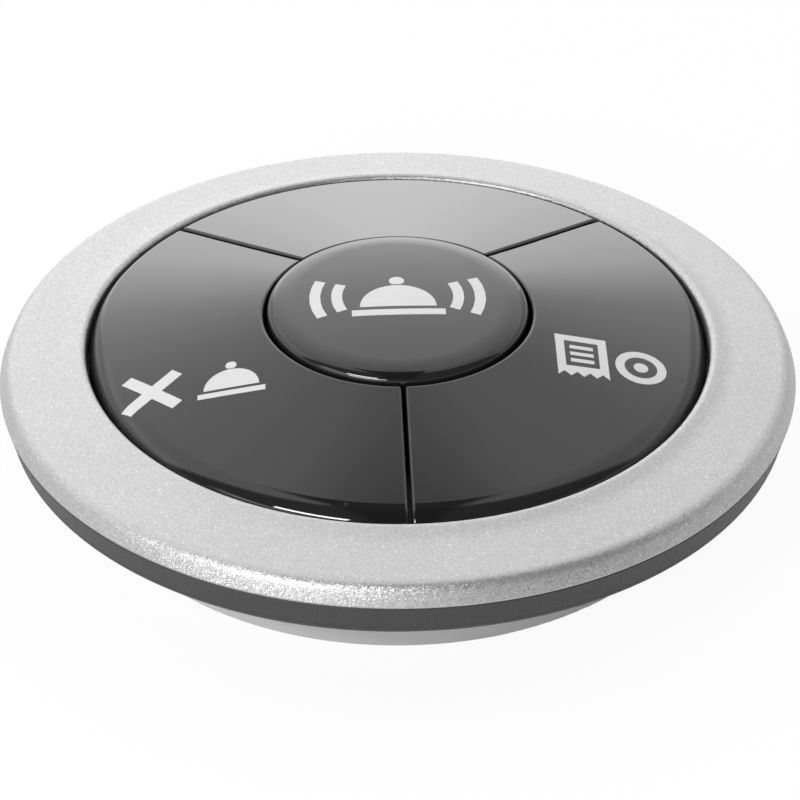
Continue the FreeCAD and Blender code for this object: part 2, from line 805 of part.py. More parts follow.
def base_cover():
    """Dished foot with a door pocket, the battery bay, screw columns and seats for the pads."""
    foot = turned(foot_outline())
    inside = rod(foot_bottom_radius - foot_wall / 2, foot_bottom_height, housing_base_height)
    half = door_half_width + door_clearance + pocket_margin
    roof = block((-half, door_inner_y - door_clearance - pocket_margin, foot_floor_height),
                 (half, body_radius, pocket_roof_height)).common(inside)
    walls, opening = battery_bay()
    cover_places = ring_of_places(cover_screw_circle_radius, cover_screw_angles)
    column_radius = cover_head_radius + head_clearance + cover_column_wall
    columns = [rod(column_radius, foot_bottom_height, cover_boss_bottom_height, p) for p in cover_places]
    walls = walls.common(rod(bay_reach, foot_bottom_height, bay_wall_height))
    foot = fused(foot, [roof, walls] + [c.common(inside) for c in columns])
    cuts = [door_space(door_clearance, door_lift_clearance, door_rim_rise + door_clearance), opening]
    cuts += door_tabs(door_clearance, door_travel)
    for place in cover_places:
        cuts.append(rod(cover_head_radius + head_clearance, foot_bottom_height - overrun,
                        cover_seat_height, place))
        cuts.append(rod(cover_screw_radius + screw_clearance, foot_bottom_height,
                        cover_boss_bottom_height + overrun, place))
    for place in ring_of_places(pad_circle_radius, pad_angles):
        cuts.append(rod(pad_radius + pad_clearance, foot_bottom_height - overrun, pad_thickness, place))
    return foot.cut(cuts).removeSplitter()


def rubber_pads():
    """Four thin discs set into the foot; the product stands on them."""
    places = ring_of_places(pad_circle_radius, pad_angles)
    return Part.makeCompound([rod(pad_radius, 0.0, pad_thickness, p) for p in places])


# Battery and its contacts


def battery():
    """Small 12 V cylinder cell lying along X, with its raised terminal at the +X end."""
    half = battery_length / 2
    body_end = half - terminal_length
    near = (battery_rounding - half, battery_radius - battery_rounding)
    far = (body_end - battery_rounding, battery_radius - battery_rounding)
    steps = [
        (-half, 0.0),
        (-half, near[1]),
        arc(near, battery_rounding, 180, 90),
        (far[0], battery_radius),
        arc(far, battery_rounding, 90, 0),
        (body_end, terminal_radius),
        (half, terminal_radius),
        (half, 0.0),
    ]
    face = outline_face(steps, lambda p: vector(p[0], 0, p[1]))
    cell = face.revolve(vector(0, 0, 0), vector(1, 0, 0), 360)
    cell.translate(vector(0, battery_centre_y, battery_centre_height))
    return cell


def bent_strip(points):
    """Sheet-metal strip along a path of (x, height) points, rounded at each bend."""
    half = contact_thickness / 2
    low_y = battery_centre_y - contact_width / 2
    pieces = []
    for start, end in zip(points, points[1:]):
        along = vector(end[0] - start[0], 0, end[1] - start[1])
        plate = block((0, -contact_width / 2, -half), (along.Length, contact_width / 2, half))
        turn = FreeCAD.Rotation(vector(1, 0, 0), along)
        plate.Placement = FreeCAD.Placement(vector(start[0], battery_centre_y, start[1]), turn)
        pieces.append(plate)
    for x, z in points[1:-1]:
        pieces.append(Part.makeCylinder(half, contact_width, vector(x, low_y, z), vector(0, 1, 0)))
    return fused(pieces[0], pieces[1:])


def contact_leg():
    """End of a contact's leg: how far out it lies on the board, and at what height."""
    height = board_top_height + contact_solder_gap + contact_thickness / 2
    return board_notch_half_width + contact_leg_length, height


def battery_plate_contact():
    """Flat contact against the raised terminal, with its leg soldered on the board."""
    x = battery_length / 2 + contact_touch_gap + contact_thickness / 2
    leg_reach, leg_height = contact_leg()
    return bent_strip([(leg_reach, leg_height), (x, leg_height), (x, door_top_height + contact_lift)])


def battery_spring_contact():
    """Folded leaf that presses on the flat end of the battery."""
    back_x = -(battery_length / 2 + leaf_depth - contact_thickness / 2)
    touch_x = -(battery_length / 2 + contact_touch_gap + contact_thickness / 2)
    leg_reach, leg_height = contact_leg()
    low = door_top_height + contact_lift
    tip_x = back_x + (touch_x - back_x) * leaf_tip_share
    return bent_strip([
        (-leg_reach, leg_height),
        (back_x, leg_height),
        (back_x, low),
        (touch_x, low + leaf_rise * (1 - leaf_tip_share)),
        (tip_x, low + leaf_rise),
    ])


# Circuit board and switches


def circuit_board():
    """Round board, notched for the battery and drilled for its screws and leads."""
    board = rod(board_radius, board_bottom_height, board_top_height)
    notch = block((-board_notch_half_width, board_notch_y, board_bottom_height - overrun),
                  (board_notch_half_width, body_radius, board_top_height + overrun))
    low = board_bottom_height - overrun
    high = board_top_height + overrun
    screw_places = ring_of_places(board_screw_circle_radius, board_screw_angles)
    holes = [rod(board_screw_radius + screw_clearance, low, high, p) for p in screw_places]
    for place in switch_places().values():
        holes += switch_leads(place, lead_hole_clearance)
    holes += [rod(led_lead_radius + lead_hole_clearance, low, high, p) for p in led_leg_places()]
    leg_place = around(antenna_circle_radius, 180 - antenna_limit_angle)
    holes.append(rod(antenna_wire_radius + lead_hole_clearance, low, high, leg_place))
    return board.cut([notch] + holes)


def switch_leads(place, growth):
    """Four flat legs of one switch, from its base down through the board."""
    legs = []
    for side in (-1, 1):
        for end in (-1, 1):
            x = place[0] + side * (switch_half_width + lead_thickness / 2)
            y = place[1] + end * lead_spacing / 2
            legs.append(upright_block(lead_thickness / 2 + growth, lead_half_width + growth,
                                      board_bottom_height - lead_tail, board_top_height + lead_half_width,
                                      (x, y)))
    return legs


def switch_bases():
    """Black moulded bases with the well for the plunger."""
    bases = []
    for place in switch_places().values():
        base = upright_block(switch_half_width, switch_half_width, board_top_height,
                             switch_cover_height, place)
        well_floor = switch_cover_height - plunger_seat - key_travel - plunger_bottom_gap
        well = rod(plunger_radius + plunger_clearance, well_floor, switch_cover_height + overrun, place)
        bases.append(base.cut(well))
    return Part.makeCompound(bases)


def switch_covers():
    """Steel cover plates, each with its plunger hole and four soldered legs."""
    covers = []
    for place in switch_places().values():
        top = switch_cover_height + switch_cover_thickness
        plate = upright_block(switch_half_width + lead_thickness, switch_half_width,
                              switch_cover_height, top, place)
        hole = rod(plunger_radius + plunger_clearance, switch_cover_height - overrun, top + overrun, place)
        cheeks = [upright_block(lead_thickness / 2, switch_half_width,
                                board_top_height, switch_cover_height,
                                (place[0] + side * (switch_half_width + lead_thickness / 2), place[1]))
                  for side in (-1, 1)]
        covers.append(fused(plate.cut(hole), cheeks + switch_leads(place, 0)))
    return Part.makeCompound(covers)


def plunger(place):
    """Round stem that a key post presses; it goes down with its key."""
    return rod(plunger_radius, switch_cover_height - plunger_seat, plunger_top_height, place)


def chip_place():
    """Plan place of the encoder chip, beside the middle switch."""
    return (switch_half_width + lead_thickness + chip_gap + chip_length / 2, 0.0)


def encoder_chip():
    low = board_top_height + chip_standoff
    return upright_block(chip_length / 2, chip_width / 2, low, low + chip_height, chip_place())


def chip_leads():
    """Gull-wing leads on both long sides of the chip."""
    x, y = chip_place()
    leads = []
    rise = chip_standoff + chip_height / 2
    for i in range(chip_lead_count):
        lead_x = x + (i - (chip_lead_count - 1) / 2) * chip_lead_pitch
        for side in (-1, 1):
            face_y = y + side * chip_width / 2
            far_y = face_y + side * chip_lead_reach
            mid_y = (face_y + far_y) / 2
            half = chip_lead_width / 2
            shelf = block((lead_x - half, min(face_y, mid_y), board_top_height + rise - chip_lead_thickness),
                          (lead_x + half, max(face_y, mid_y), board_top_height + rise))
            drop_y = mid_y - side * chip_lead_thickness
            drop = block((lead_x - half, min(mid_y, drop_y), board_top_height),
                         (lead_x + half, max(mid_y, drop_y), board_top_height + rise))
            toe = block((lead_x - half, min(drop_y, far_y), board_top_height),
                        (lead_x + half, max(drop_y, far_y), board_top_height + chip_lead_thickness))
            leads.append(fused(shelf, [drop, toe]))
    return Part.makeCompound(leads)


def resonator():
    """Metal-can resonator hanging under the board."""
    place = on_board(resonator_place_share)
    can = rod(resonator_radius, board_bottom_height - resonator_height, board_bottom_height, place)
    flange = rod(resonator_radius + resonator_flange_reach, board_bottom_height - resonator_flange_height,
                 board_bottom_height, place)
    return fused(can, [flange])


def chip_parts(place_shares, length, width, height):
    """Group of like small parts on top of the board."""
    top = board_top_height + height
    return Part.makeCompound([upright_block(length / 2, width / 2, board_top_height, top, on_board(s))
                              for s in place_shares])


def led_place():
    """Plan place of the lamp, between the middle switch and the frame's round window."""
    return (0.0, (switch_half_width + frame_window_radius) / 2)


def led_leg_places():
    x, y = led_place()
    return [(x - led_lead_spacing / 2, y), (x + led_lead_spacing / 2, y)]


def status_led():
    """Round indicator lamp on the board, under the call key."""
    x, y = led_place()
    flange_top = board_top_height + led_flange_height
    flange = rod(led_radius + led_flange_reach, board_top_height, flange_top, (x, y))
    body_top = board_top_height + led_body_height
    stem = rod(led_radius, board_top_height, body_top, (x, y))
    dome = Part.makeSphere(led_radius, vector(x, y, body_top))
    legs = [rod(led_lead_radius, board_bottom_height - lead_tail, flange_top, p) for p in led_leg_places()]
    return fused(flange, [stem, dome] + legs)


def antenna_wire():
    """Insulated wire laid round the board's edge, with one end soldered into the board."""
    height = board_top_height + antenna_lift + antenna_wire_radius
    start_angle = 180 - antenna_limit_angle
    start = around(antenna_circle_radius, start_angle)
    ring = Part.makeTorus(antenna_circle_radius, antenna_wire_radius, vector(0, 0, height),
                          vector(0, 0, 1), 0, 360, 180 + 2 * antenna_limit_angle)
    wire = swung(ring, start_angle)
    leg = rod(antenna_wire_radius, board_bottom_height - antenna_leg_tail, height, start)
    knee = Part.makeSphere(antenna_wire_radius, vector(start[0], start[1], height))
    return fused(wire, [leg, knee])


# Screws


def screw(shank_radius, tip, head_radius, head_height, seat, place):
    """Self-tapping screw driven upwards to a tip height, with a cross recess in its pan head."""
    shank = rod(shank_radius, seat - head_height / 2, tip, place)
    head = rod(head_radius, seat - head_height, seat, place)
    bottom = seat - head_height
    reach = head_radius * recess_reach_share
    half = head_radius * recess_width_share
    depth = head_height * recess_depth_share
    recess = [upright_block(reach, half, bottom - overrun, bottom + depth, place),
              upright_block(half, reach, bottom - overrun, bottom + depth, place)]
    return fused(head, [shank]).cut(recess)


def screw_group(places, shank_radius, tip, head_radius, head_height, seat):
    return Part.makeCompound([screw(shank_radius, tip, head_radius, head_height, seat, p) for p in places])


def housing_screws():
    places = ring_of_places(main_screw_circle_radius, main_screw_angles)
    tip = shoulder_height - boss_roof - pilot_overrun
    return screw_group(places, main_screw_radius, tip, main_head_radius, main_head_height, main_seat_height)


def cover_screws():
    places = ring_of_places(cover_screw_circle_radius, cover_screw_angles)
    tip = cover_boss_top_height - boss_roof - pilot_overrun
    return screw_group(places, cover_screw_radius, tip, cover_head_radius, cover_head_height,
                       cover_seat_height)


def board_screws():
    places = ring_of_places(board_screw_circle_radius, board_screw_angles)
    tip = ring_seat_height - frame_pilot_roof - pilot_overrun
    return screw_group(places, board_screw_radius, tip, board_head_radius, board_head_height,
                       board_bottom_height)


def build():
    """Makes every node of the call button."""
    os.makedirs("parts", exist_ok=True)
    places = switch_places()
    front = front_seam_angle
    save(bezel_ring(), "bezel_ring")
    save(key_frame(), "key_frame")
    save(call_key(), "call_key")
    save(sector_cap(left_seam_angle, front + 360, places["cancel"]), "cancel_key")
    save(sector_cap(front, right_seam_angle, places["bill"]), "bill_key")
    save(sector_cap(right_seam_angle, left_seam_angle), "rear_panel")
    save(lower_housing(), "lower_housing")
    save(base_cover(), "base_cover")
    save(battery_door(), "battery_door")
    save(rubber_pads(), "rubber_pads")
    save(housing_screws(), "housing_screws")
    save(cover_screws(), "cover_screws")
    save(board_screws(), "board_screws")
    save(circuit_board(), "circuit_board")
    save(switch_bases(), "switch_bases")
    save(switch_covers(), "switch_covers")
    for name in ("call", "cancel", "bill"):
        save(plunger(places[name]), "%s_switch_plunger" % name)
    save(encoder_chip(), "encoder_chip")
    save(chip_leads(), "chip_leads")
    save(resonator(), "resonator")
    save(chip_parts(transistor_place_shares, transistor_length, transistor_width, transistor_height),
         "transistors")
    save(chip_parts(resistor_place_shares, chip_part_length, chip_part_width, resistor_height),
         "chip_resistors")
    save(chip_parts(capacitor_place_shares, chip_part_length, chip_part_width, capacitor_height),
         "chip_capacitors")
    save(status_led(), "status_led")
    save(antenna_wire(), "antenna_wire")
    save(battery(), "battery")
    save(battery_plate_contact(), "battery_plate_contact")
    save(battery_spring_contact(), "battery_spring_contact")


build()
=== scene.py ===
"""Looks of a round table-top call button: gloss black keys in a silver ring, on a dark band and a pale foot.

Places are in the part's own frame, in metres: +Z up, the seam between the two side keys along -Y.
Sizes are written in millimetres, as numbers times mm.
"""

from math import ceil, cos, floor, hypot, pi, radians, sin, tan

import bmesh
import bpy
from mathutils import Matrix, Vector


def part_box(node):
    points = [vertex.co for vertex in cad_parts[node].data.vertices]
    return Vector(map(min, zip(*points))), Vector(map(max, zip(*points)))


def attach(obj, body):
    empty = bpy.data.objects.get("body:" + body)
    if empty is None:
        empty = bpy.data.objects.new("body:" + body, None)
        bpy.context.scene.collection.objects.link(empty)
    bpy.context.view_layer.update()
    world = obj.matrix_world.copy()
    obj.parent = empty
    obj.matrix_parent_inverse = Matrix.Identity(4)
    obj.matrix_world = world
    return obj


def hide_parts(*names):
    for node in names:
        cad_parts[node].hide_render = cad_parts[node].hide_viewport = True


mm = 0.001

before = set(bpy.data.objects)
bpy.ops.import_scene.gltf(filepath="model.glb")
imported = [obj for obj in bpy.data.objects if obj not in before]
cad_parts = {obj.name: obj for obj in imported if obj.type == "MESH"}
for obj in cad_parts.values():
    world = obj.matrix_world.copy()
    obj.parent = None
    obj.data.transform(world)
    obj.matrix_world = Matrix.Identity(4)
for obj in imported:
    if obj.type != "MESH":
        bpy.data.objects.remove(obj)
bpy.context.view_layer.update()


# Circuit board
# A round board of glass laminate under green solder resist, routed to shape with a notch for the battery.
# Copper tracks show through the resist as slightly raised, lighter lines, and the cut edge is bare laminate.


def find_socket(sockets, name):
    """A socket by its identifier, which is unique in a node, or else by its name."""
    for socket in sockets:
        if socket.identifier == name:
            return socket
    return sockets[name]


def add_node(tree, kind, inputs=None, **settings):
    """Adds a node with its settings; each input is a plain value or the socket that feeds it."""
    node = tree.nodes.new(kind)
    for name, value in settings.items():
        setattr(node, name, value)
    for name, value in (inputs or {}).items():
        socket = find_socket(node.inputs, name)
        if isinstance(value, bpy.types.NodeSocket):
            tree.links.new(value, socket)
        else:
            socket.default_value = value
    return node


def math(tree, operation, first, second=None):
    """Result of one sum on values or sockets."""
    inputs = {"Value": first}
    if second is not None:
        inputs["Value_001"] = second
    return add_node(tree, "ShaderNodeMath", inputs, operation=operation).outputs[0]


def product(tree, *factors):
    """Product of values or sockets."""
    result = factors[0]
    for factor in factors[1:]:
        result = math(tree, "MULTIPLY", result, factor)
    return result


def step_up(tree, value, low, high, bottom=0.0, top=1.0):
    """Smooth step from bottom to top as a value goes from low to high."""
    inputs = {"Value": value, "From Min": low, "From Max": high, "To Min": bottom, "To Max": top}
    return add_node(tree, "ShaderNodeMapRange", inputs, interpolation_type="SMOOTHSTEP").outputs[0]


def mixed_colour(tree, factor, first, second, blend="MIX"):
    """Colour between two colours, or one blended on the other."""
    inputs = {"Factor_Float": factor, "A_Color": first, "B_Color": second}
    node = add_node(tree, "ShaderNodeMix", inputs, data_type="RGBA", blend_type=blend)
    return find_socket(node.outputs, "Result_Color")


def object_place(tree):
    """The point's place in the part's frame."""
    return add_node(tree, "ShaderNodeTexCoord").outputs["Object"]


def split(tree, vector):
    """The three parts of a vector."""
    return add_node(tree, "ShaderNodeSeparateXYZ", {"Vector": vector}).outputs


def new_group(name, inputs, outputs):
    """Empty shader group with named sockets; inputs are (name, kind, value), outputs (name, kind)."""
    tree = bpy.data.node_groups.new(name, "ShaderNodeTree")
    for socket_name, kind, value in inputs:
        socket = tree.interface.new_socket(socket_name, in_out="INPUT", socket_type="NodeSocket" + kind)
        socket.default_value = value
    for socket_name, kind in outputs:
        tree.interface.new_socket(socket_name, in_out="OUTPUT", socket_type="NodeSocket" + kind)
    return tree, tree.nodes.new("NodeGroupInput").outputs


def give_out(tree, **results):
    """Feeds a group's outputs; underscores in their names stand for spaces."""
    end = tree.nodes.new("NodeGroupOutput")
    for name, socket in results.items():
        tree.links.new(socket, end.inputs[name.replace("_", " ")])


def use_group(tree, group, **inputs):
    """Places a group in a material; underscores in the input names stand for spaces."""
    named = {name.replace("_", " "): value for name, value in inputs.items()}
    node = tree.nodes.new("ShaderNodeGroup")
    node.node_tree = group
    for name, value in named.items():
        if isinstance(value, bpy.types.NodeSocket):
            tree.links.new(value, node.inputs[name])
        else:
            node.inputs[name].default_value = value
    return node.outputs


def new_material(name, **values):
    """Material with its surface shader; values go to sockets named with underscores for spaces."""
    material = bpy.data.materials.new(name)
    material.use_nodes = True
    shader = material.node_tree.nodes["Principled BSDF"]
    for socket_name, value in values.items():
        shader.inputs[socket_name.replace("_", " ")].default_value = value
    return material, material.node_tree, shader


def feed(tree, shader, **sockets):
    """Links sockets into a surface shader's inputs."""
    for name, socket in sockets.items():
        tree.links.new(socket, find_socket(shader.inputs, name.replace("_", " ")))


def bumped(tree, height, distance, strength=1.0):
    """Normal of a surface with a small height on it."""
    return add_node(tree, "ShaderNodeBump", {"Height": height, "Distance": distance,
                                             "Strength": strength}).outputs[0]


def dress(material, *names):
    """Gives CAD nodes their material."""
    for name in names:
        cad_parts[name].material_slots[0].material = material


def colour_drift_group():
    """Slow uneven change of a colour's brightness, as any moulded or coated surface has."""
    tree, given = new_group(
        "colour_drift",
        [("Colour", "Color", (0.5, 0.5, 0.5, 1.0)), ("Amount", "Float", 0.1), ("Patch Size", "Float", 4 * mm)],
        [("Colour", "Color")])
    scale = math(tree, "DIVIDE", 1.0, given["Patch Size"])
    noise = add_node(tree, "ShaderNodeTexNoise", {"Vector": object_place(tree), "Scale": scale, "Detail": 3.0})
    swing = math(tree, "MULTIPLY", math(tree, "SUBTRACT", noise.outputs[0], 0.5), given["Amount"])
    level = math(tree, "ADD", 1.0, math(tree, "MULTIPLY", swing, 2.0))
    shade = add_node(tree, "ShaderNodeCombineColor", {"Red": level, "Green": level, "Blue": level}).outputs[0]
    give_out(tree, Colour=mixed_colour(tree, 1.0, given["Colour"], shade, "MULTIPLY"))
    return tree


colour_drift = colour_drift_group()

board_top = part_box("circuit_board")[1].z
track_pitch = 1.27 * mm
track_edges = (0.32 * mm, 0.38 * mm)
field_width = 8 * track_pitch
field_depth = 6 * track_pitch
resist_green = (0.008, 0.085, 0.032, 1.0)
track_green = (0.02, 0.19, 0.075, 1.0)
laminate_tan = (0.36, 0.33, 0.17, 1.0)


def board_material():
    """Green resist with tracks on the flat sides, tan laminate on the cut edges."""
    material, tree, shader = new_material("green_solder_resist", Roughness=0.32, IOR=1.52)
    x, y, z = split(tree, object_place(tree))
    columns = math(tree, "SNAP", x, field_width)
    rows = math(tree, "SNAP", y, field_depth)
    cell = add_node(tree, "ShaderNodeCombineXYZ", {"X": columns, "Y": rows})
    turn = add_node(tree, "ShaderNodeTexWhiteNoise", {"Vector": cell.outputs[0]}).outputs[0]
    along = math(tree, "GREATER_THAN", turn, 0.5)
    across = math(tree, "ADD", math(tree, "MULTIPLY", x, along),
                  math(tree, "MULTIPLY", y, math(tree, "SUBTRACT", 1.0, along)))
    wave = math(tree, "PINGPONG", across, track_pitch / 2)
    track = step_up(tree, wave, *track_edges)
    resist = mixed_colour(tree, track, resist_green, track_green)
    up = split(tree, add_node(tree, "ShaderNodeTexCoord").outputs["Normal"])[2]
    flat = math(tree, "GREATER_THAN", math(tree, "ABSOLUTE", up), 0.5)
    colour = mixed_colour(tree, flat, laminate_tan, resist)
    drift = use_group(tree, colour_drift, Colour=colour, Amount=0.12, Patch_Size=5 * mm)
    feed(tree, shader, Base_Color=drift["Colour"], Normal=bumped(tree, track, 0.03 * mm, 0.6))
    return material


dress(board_material(), "circuit_board")


# Soldered parts
# Encoder chip, transistors, resistors, capacitors, a metal-can resonator and an indicator lamp, reflow and
# hand soldered to the board. Bodies are moulded epoxy or ceramic, and every lead and end is tinned.


def moulded_grain_group():
    """Fine grain that a spark-eroded mould leaves on plastic: height for a bump, and a mask for gloss."""
    tree, given = new_group("moulded_grain", [("Grain Size", "Float", 0.3 * mm)],
                            [("Height", "Float"), ("Mask", "Float")])
    place = object_place(tree)
    scale = math(tree, "DIVIDE", 1.0, given["Grain Size"])
    pits = add_node(tree, "ShaderNodeTexVoronoi", {"Vector": place, "Scale": scale}, feature="SMOOTH_F1")
    fine = add_node(tree, "ShaderNodeTexNoise", {"Vector": place, "Scale": scale, "Detail": 4.0})
    height = math(tree, "ADD", math(tree, "MULTIPLY", pits.outputs["Distance"], 0.6), fine.outputs[0])
    give_out(tree, Height=height, Mask=step_up(tree, fine.outputs[0], 0.3, 0.7))
    return tree


moulded_grain = moulded_grain_group()


gloss_swing = 0.06


def plastic_material(name, colour, roughness, grain_size, grain_depth, drift_amount=0.1):
    """Moulded plastic: even colour with a slow drift, fine grain, and gloss that follows the grain."""
    material, tree, shader = new_material(name, IOR=1.5)
    grain = use_group(tree, moulded_grain, Grain_Size=grain_size)
    drift = use_group(tree, colour_drift, Colour=(*colour, 1.0), Amount=drift_amount, Patch_Size=6 * mm)
    gloss = step_up(tree, grain["Mask"], 0.0, 1.0, roughness - gloss_swing, roughness + gloss_swing)
    feed(tree, shader, Base_Color=drift["Colour"], Roughness=gloss,
         Normal=bumped(tree, grain["Height"], grain_depth))
    return material


def metal_wear_group():
    """Fine scratches in two directions and faint dull patches on bare or plated metal."""
    tree, given = new_group("metal_wear", [("Scratch Width", "Float", 0.05 * mm)],
                            [("Height", "Float"), ("Dull", "Float")])
    place = object_place(tree)
    scale = math(tree, "DIVIDE", 1.0, given["Scratch Width"])
    height = None
    for stretch in ((1.0, 0.04, 0.3), (0.05, 1.0, 0.3)):
        drawn = add_node(tree, "ShaderNodeMapping", {"Vector": place, "Scale": stretch}).outputs[0]
        lines = add_node(tree, "ShaderNodeTexNoise",
                         {"Vector": drawn, "Scale": scale, "Detail": 2.0}).outputs[0]
        height = lines if height is None else math(tree, "MULTIPLY", height, lines)
    patches = add_node(tree, "ShaderNodeTexNoise", {"Vector": place, "Scale": 1 / (1.5 * mm), "Detail": 4.0})
    give_out(tree, Height=height, Dull=step_up(tree, patches.outputs[0], 0.35, 0.75))
    return tree


metal_wear = metal_wear_group()


def metal_material(name, colour, roughness, scratch_width=0.05 * mm, scratch_depth=0.006 * mm):
    """Plated or tinned metal, brighter where it is clean and duller in patches."""
    material, tree, shader = new_material(name, Metallic=1.0)
    wear = use_group(tree, metal_wear, Scratch_Width=scratch_width)
    drift = use_group(tree, colour_drift, Colour=(*colour, 1.0), Amount=0.08, Patch_Size=2 * mm)
    gloss = step_up(tree, wear["Dull"], 0.0, 1.0, roughness, roughness + 0.18)
    feed(tree, shader, Base_Color=drift["Colour"], Roughness=gloss,
         Normal=bumped(tree, wear["Height"], scratch_depth))
    return material


tinned_colour = (0.72, 0.71, 0.68)


def end_capped_material(name, colour, roughness):
    """Chip part: glazed body with tinned faces at its two X ends."""
    material, tree, shader = new_material(name, IOR=1.55)
    side = split(tree, add_node(tree, "ShaderNodeTexCoord").outputs["Normal"])[0]
    cap = math(tree, "GREATER_THAN", math(tree, "ABSOLUTE", side), 0.5)
    drift = use_group(tree, colour_drift, Colour=(*colour, 1.0), Amount=0.2, Patch_Size=0.6 * mm)
    shade = mixed_colour(tree, cap, drift["Colour"], (*tinned_colour, 1.0))
    grain = use_group(tree, moulded_grain, Grain_Size=0.12 * mm)
    gloss = step_up(tree, grain["Mask"], 0.0, 1.0, roughness, roughness + 0.1)
    feed(tree, shader, Base_Color=shade, Metallic=cap, Roughness=gloss,
         Normal=bumped(tree, grain["Height"], 0.006 * mm))
    return material


epoxy_black = plastic_material("black_moulding_epoxy", (0.022, 0.022, 0.024), roughness=0.5,
                               grain_size=0.1 * mm, grain_depth=0.01 * mm)
tin = metal_material("tinned_copper", tinned_colour, roughness=0.26)
bright_steel = metal_material("bright_pressed_steel", (0.62, 0.61, 0.59), roughness=0.2)
resistor_glaze = end_capped_material("black_glazed_resistor", (0.045, 0.045, 0.05), roughness=0.22)
capacitor_ceramic = end_capped_material("tan_ceramic_capacitor", (0.40, 0.28, 0.16), roughness=0.4)
dress(epoxy_black, "encoder_chip", "transistors")
dress(tin, "chip_leads")
dress(bright_steel, "resonator")
dress(resistor_glaze, "chip_resistors")
dress(capacitor_ceramic, "chip_capacitors")
resin_red = (0.62, 0.03, 0.02, 1.0)


def lamp_material():
    """Red tinted clear resin over tinned legs."""
    material, tree, shader = new_material("red_lamp_resin", Roughness=0.12, IOR=1.54, Transmission_Weight=0.35)
    z = split(tree, object_place(tree))[2]
    resin = math(tree, "GREATER_THAN", z, board_top)
    shade = mixed_colour(tree, resin, (*tinned_colour, 1.0), resin_red)
    drift = use_group(tree, colour_drift, Colour=shade, Amount=0.1, Patch_Size=1 * mm)
    feed(tree, shader, Base_Color=drift["Colour"])
    return material


dress(lamp_material(), "status_led")


# Antenna wire
# A stranded wire in black plastic insulation, laid once round the edge of the board and soldered at one end.

insulation = plastic_material("black_wire_insulation", (0.028, 0.028, 0.028), roughness=0.42,
                              grain_size=0.15 * mm, grain_depth=0.008 * mm)
dress(insulation, "antenna_wire")


# Tactile switches
# Three snap switches soldered under the keys: a black moulded base, a bright pressed steel cover folded down
# its sides, and a black plunger that the key's post rests on.

dress(bright_steel, "switch_covers")
switch_black = plastic_material("black_switch_plastic", (0.02, 0.02, 0.021), roughness=0.38,
                                grain_size=0.14 * mm, grain_depth=0.008 * mm)
dress(switch_black, "switch_bases", "call_switch_plunger", "cancel_switch_plunger", "bill_switch_plunger")


# Battery
# A 12 V cylinder cell in a shrunk blue plastic sleeve that leaves both ends of its steel can bare. It lies
# between a flat plate and a folded leaf spring of nickel-plated steel, both soldered to the board.

battery_low, battery_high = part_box("battery")
sleeve_overlap = 1.1 * mm
sleeve_blue = (0.03, 0.09, 0.27, 1.0)
nickel_colour = (0.66, 0.64, 0.6)


def battery_material():
    """Blue sleeve with a turned-in edge round the bare metal ends."""
    material, tree, shader = new_material("blue_shrink_sleeve", IOR=1.5, Roughness=0.28)
    x, y, z = split(tree, object_place(tree))
    middle_y = (battery_low.y + battery_high.y) / 2
    middle_z = (battery_low.z + battery_high.z) / 2
    across = math(tree, "POWER", math(tree, "SUBTRACT", y, middle_y), 2.0)
    upward = math(tree, "POWER", math(tree, "SUBTRACT", z, middle_z), 2.0)
    reach = math(tree, "SQRT", math(tree, "ADD", across, upward))
    inside = math(tree, "LESS_THAN", reach, (battery_high.z - battery_low.z) / 2 - sleeve_overlap)
    drift = use_group(tree, colour_drift, Colour=sleeve_blue, Amount=0.14, Patch_Size=7 * mm)
    shade = mixed_colour(tree, inside, drift["Colour"], (*nickel_colour, 1.0))
    wrinkles = add_node(tree, "ShaderNodeTexNoise", {"Vector": object_place(tree), "Scale": 1 / (2.5 * mm)})
    feed(tree, shader, Base_Color=shade, Metallic=inside,
         Normal=bumped(tree, wrinkles.outputs[0], 0.05 * mm, 0.5))
    return material


dress(battery_material(), "battery")
nickel = metal_material("nickel_plated_spring_steel", nickel_colour, roughness=0.18)
dress(nickel, "battery_plate_contact", "battery_spring_contact")


# Key frame
# The black carrier that the keys clip into: one injection moulding with a guide collar, windows for the
# switches and slots for the hooks, clamped between the ring and the housing.

frame_black = plastic_material("black_frame_plastic", (0.02, 0.02, 0.021), roughness=0.46,
                               grain_size=0.25 * mm, grain_depth=0.012 * mm)
dress(frame_black, "key_frame")


# Gloss keys and rear panel
# Four caps moulded in black plastic in a polished mould: the round call key, the two side keys and the fixed
# rear panel. Use leaves only the faintest haze and a few hairline marks on them.


def smudge_group():
    """Faint handling haze in soft patches, with a few hairline marks."""
    tree, given = new_group("smudge", [("Patch Size", "Float", 8 * mm)],
                            [("Haze", "Float"), ("Hairline", "Float")])
    place = object_place(tree)
    scale = math(tree, "DIVIDE", 1.0, given["Patch Size"])
    haze = add_node(tree, "ShaderNodeTexNoise",
                    {"Vector": place, "Scale": scale, "Detail": 4.0, "Distortion": 0.6}).outputs[0]
    turn = (0.0, 0.0, radians(35.0))
    drawn = add_node(tree, "ShaderNodeMapping",
                     {"Vector": place, "Rotation": turn, "Scale": (1.0, 0.03, 1.0)}).outputs[0]
    lines = add_node(tree, "ShaderNodeTexNoise", {"Vector": drawn, "Scale": 1 / (0.12 * mm)}).outputs[0]
    give_out(tree, Haze=step_up(tree, haze, 0.45, 0.8), Hairline=step_up(tree, lines, 0.78, 0.84))
    return tree


smudge = smudge_group()
cap_black = (0.0105, 0.0100, 0.0100, 1.0)
clean_roughness = 0.045
hazy_roughness = 0.085
hairline_roughness = 0.05


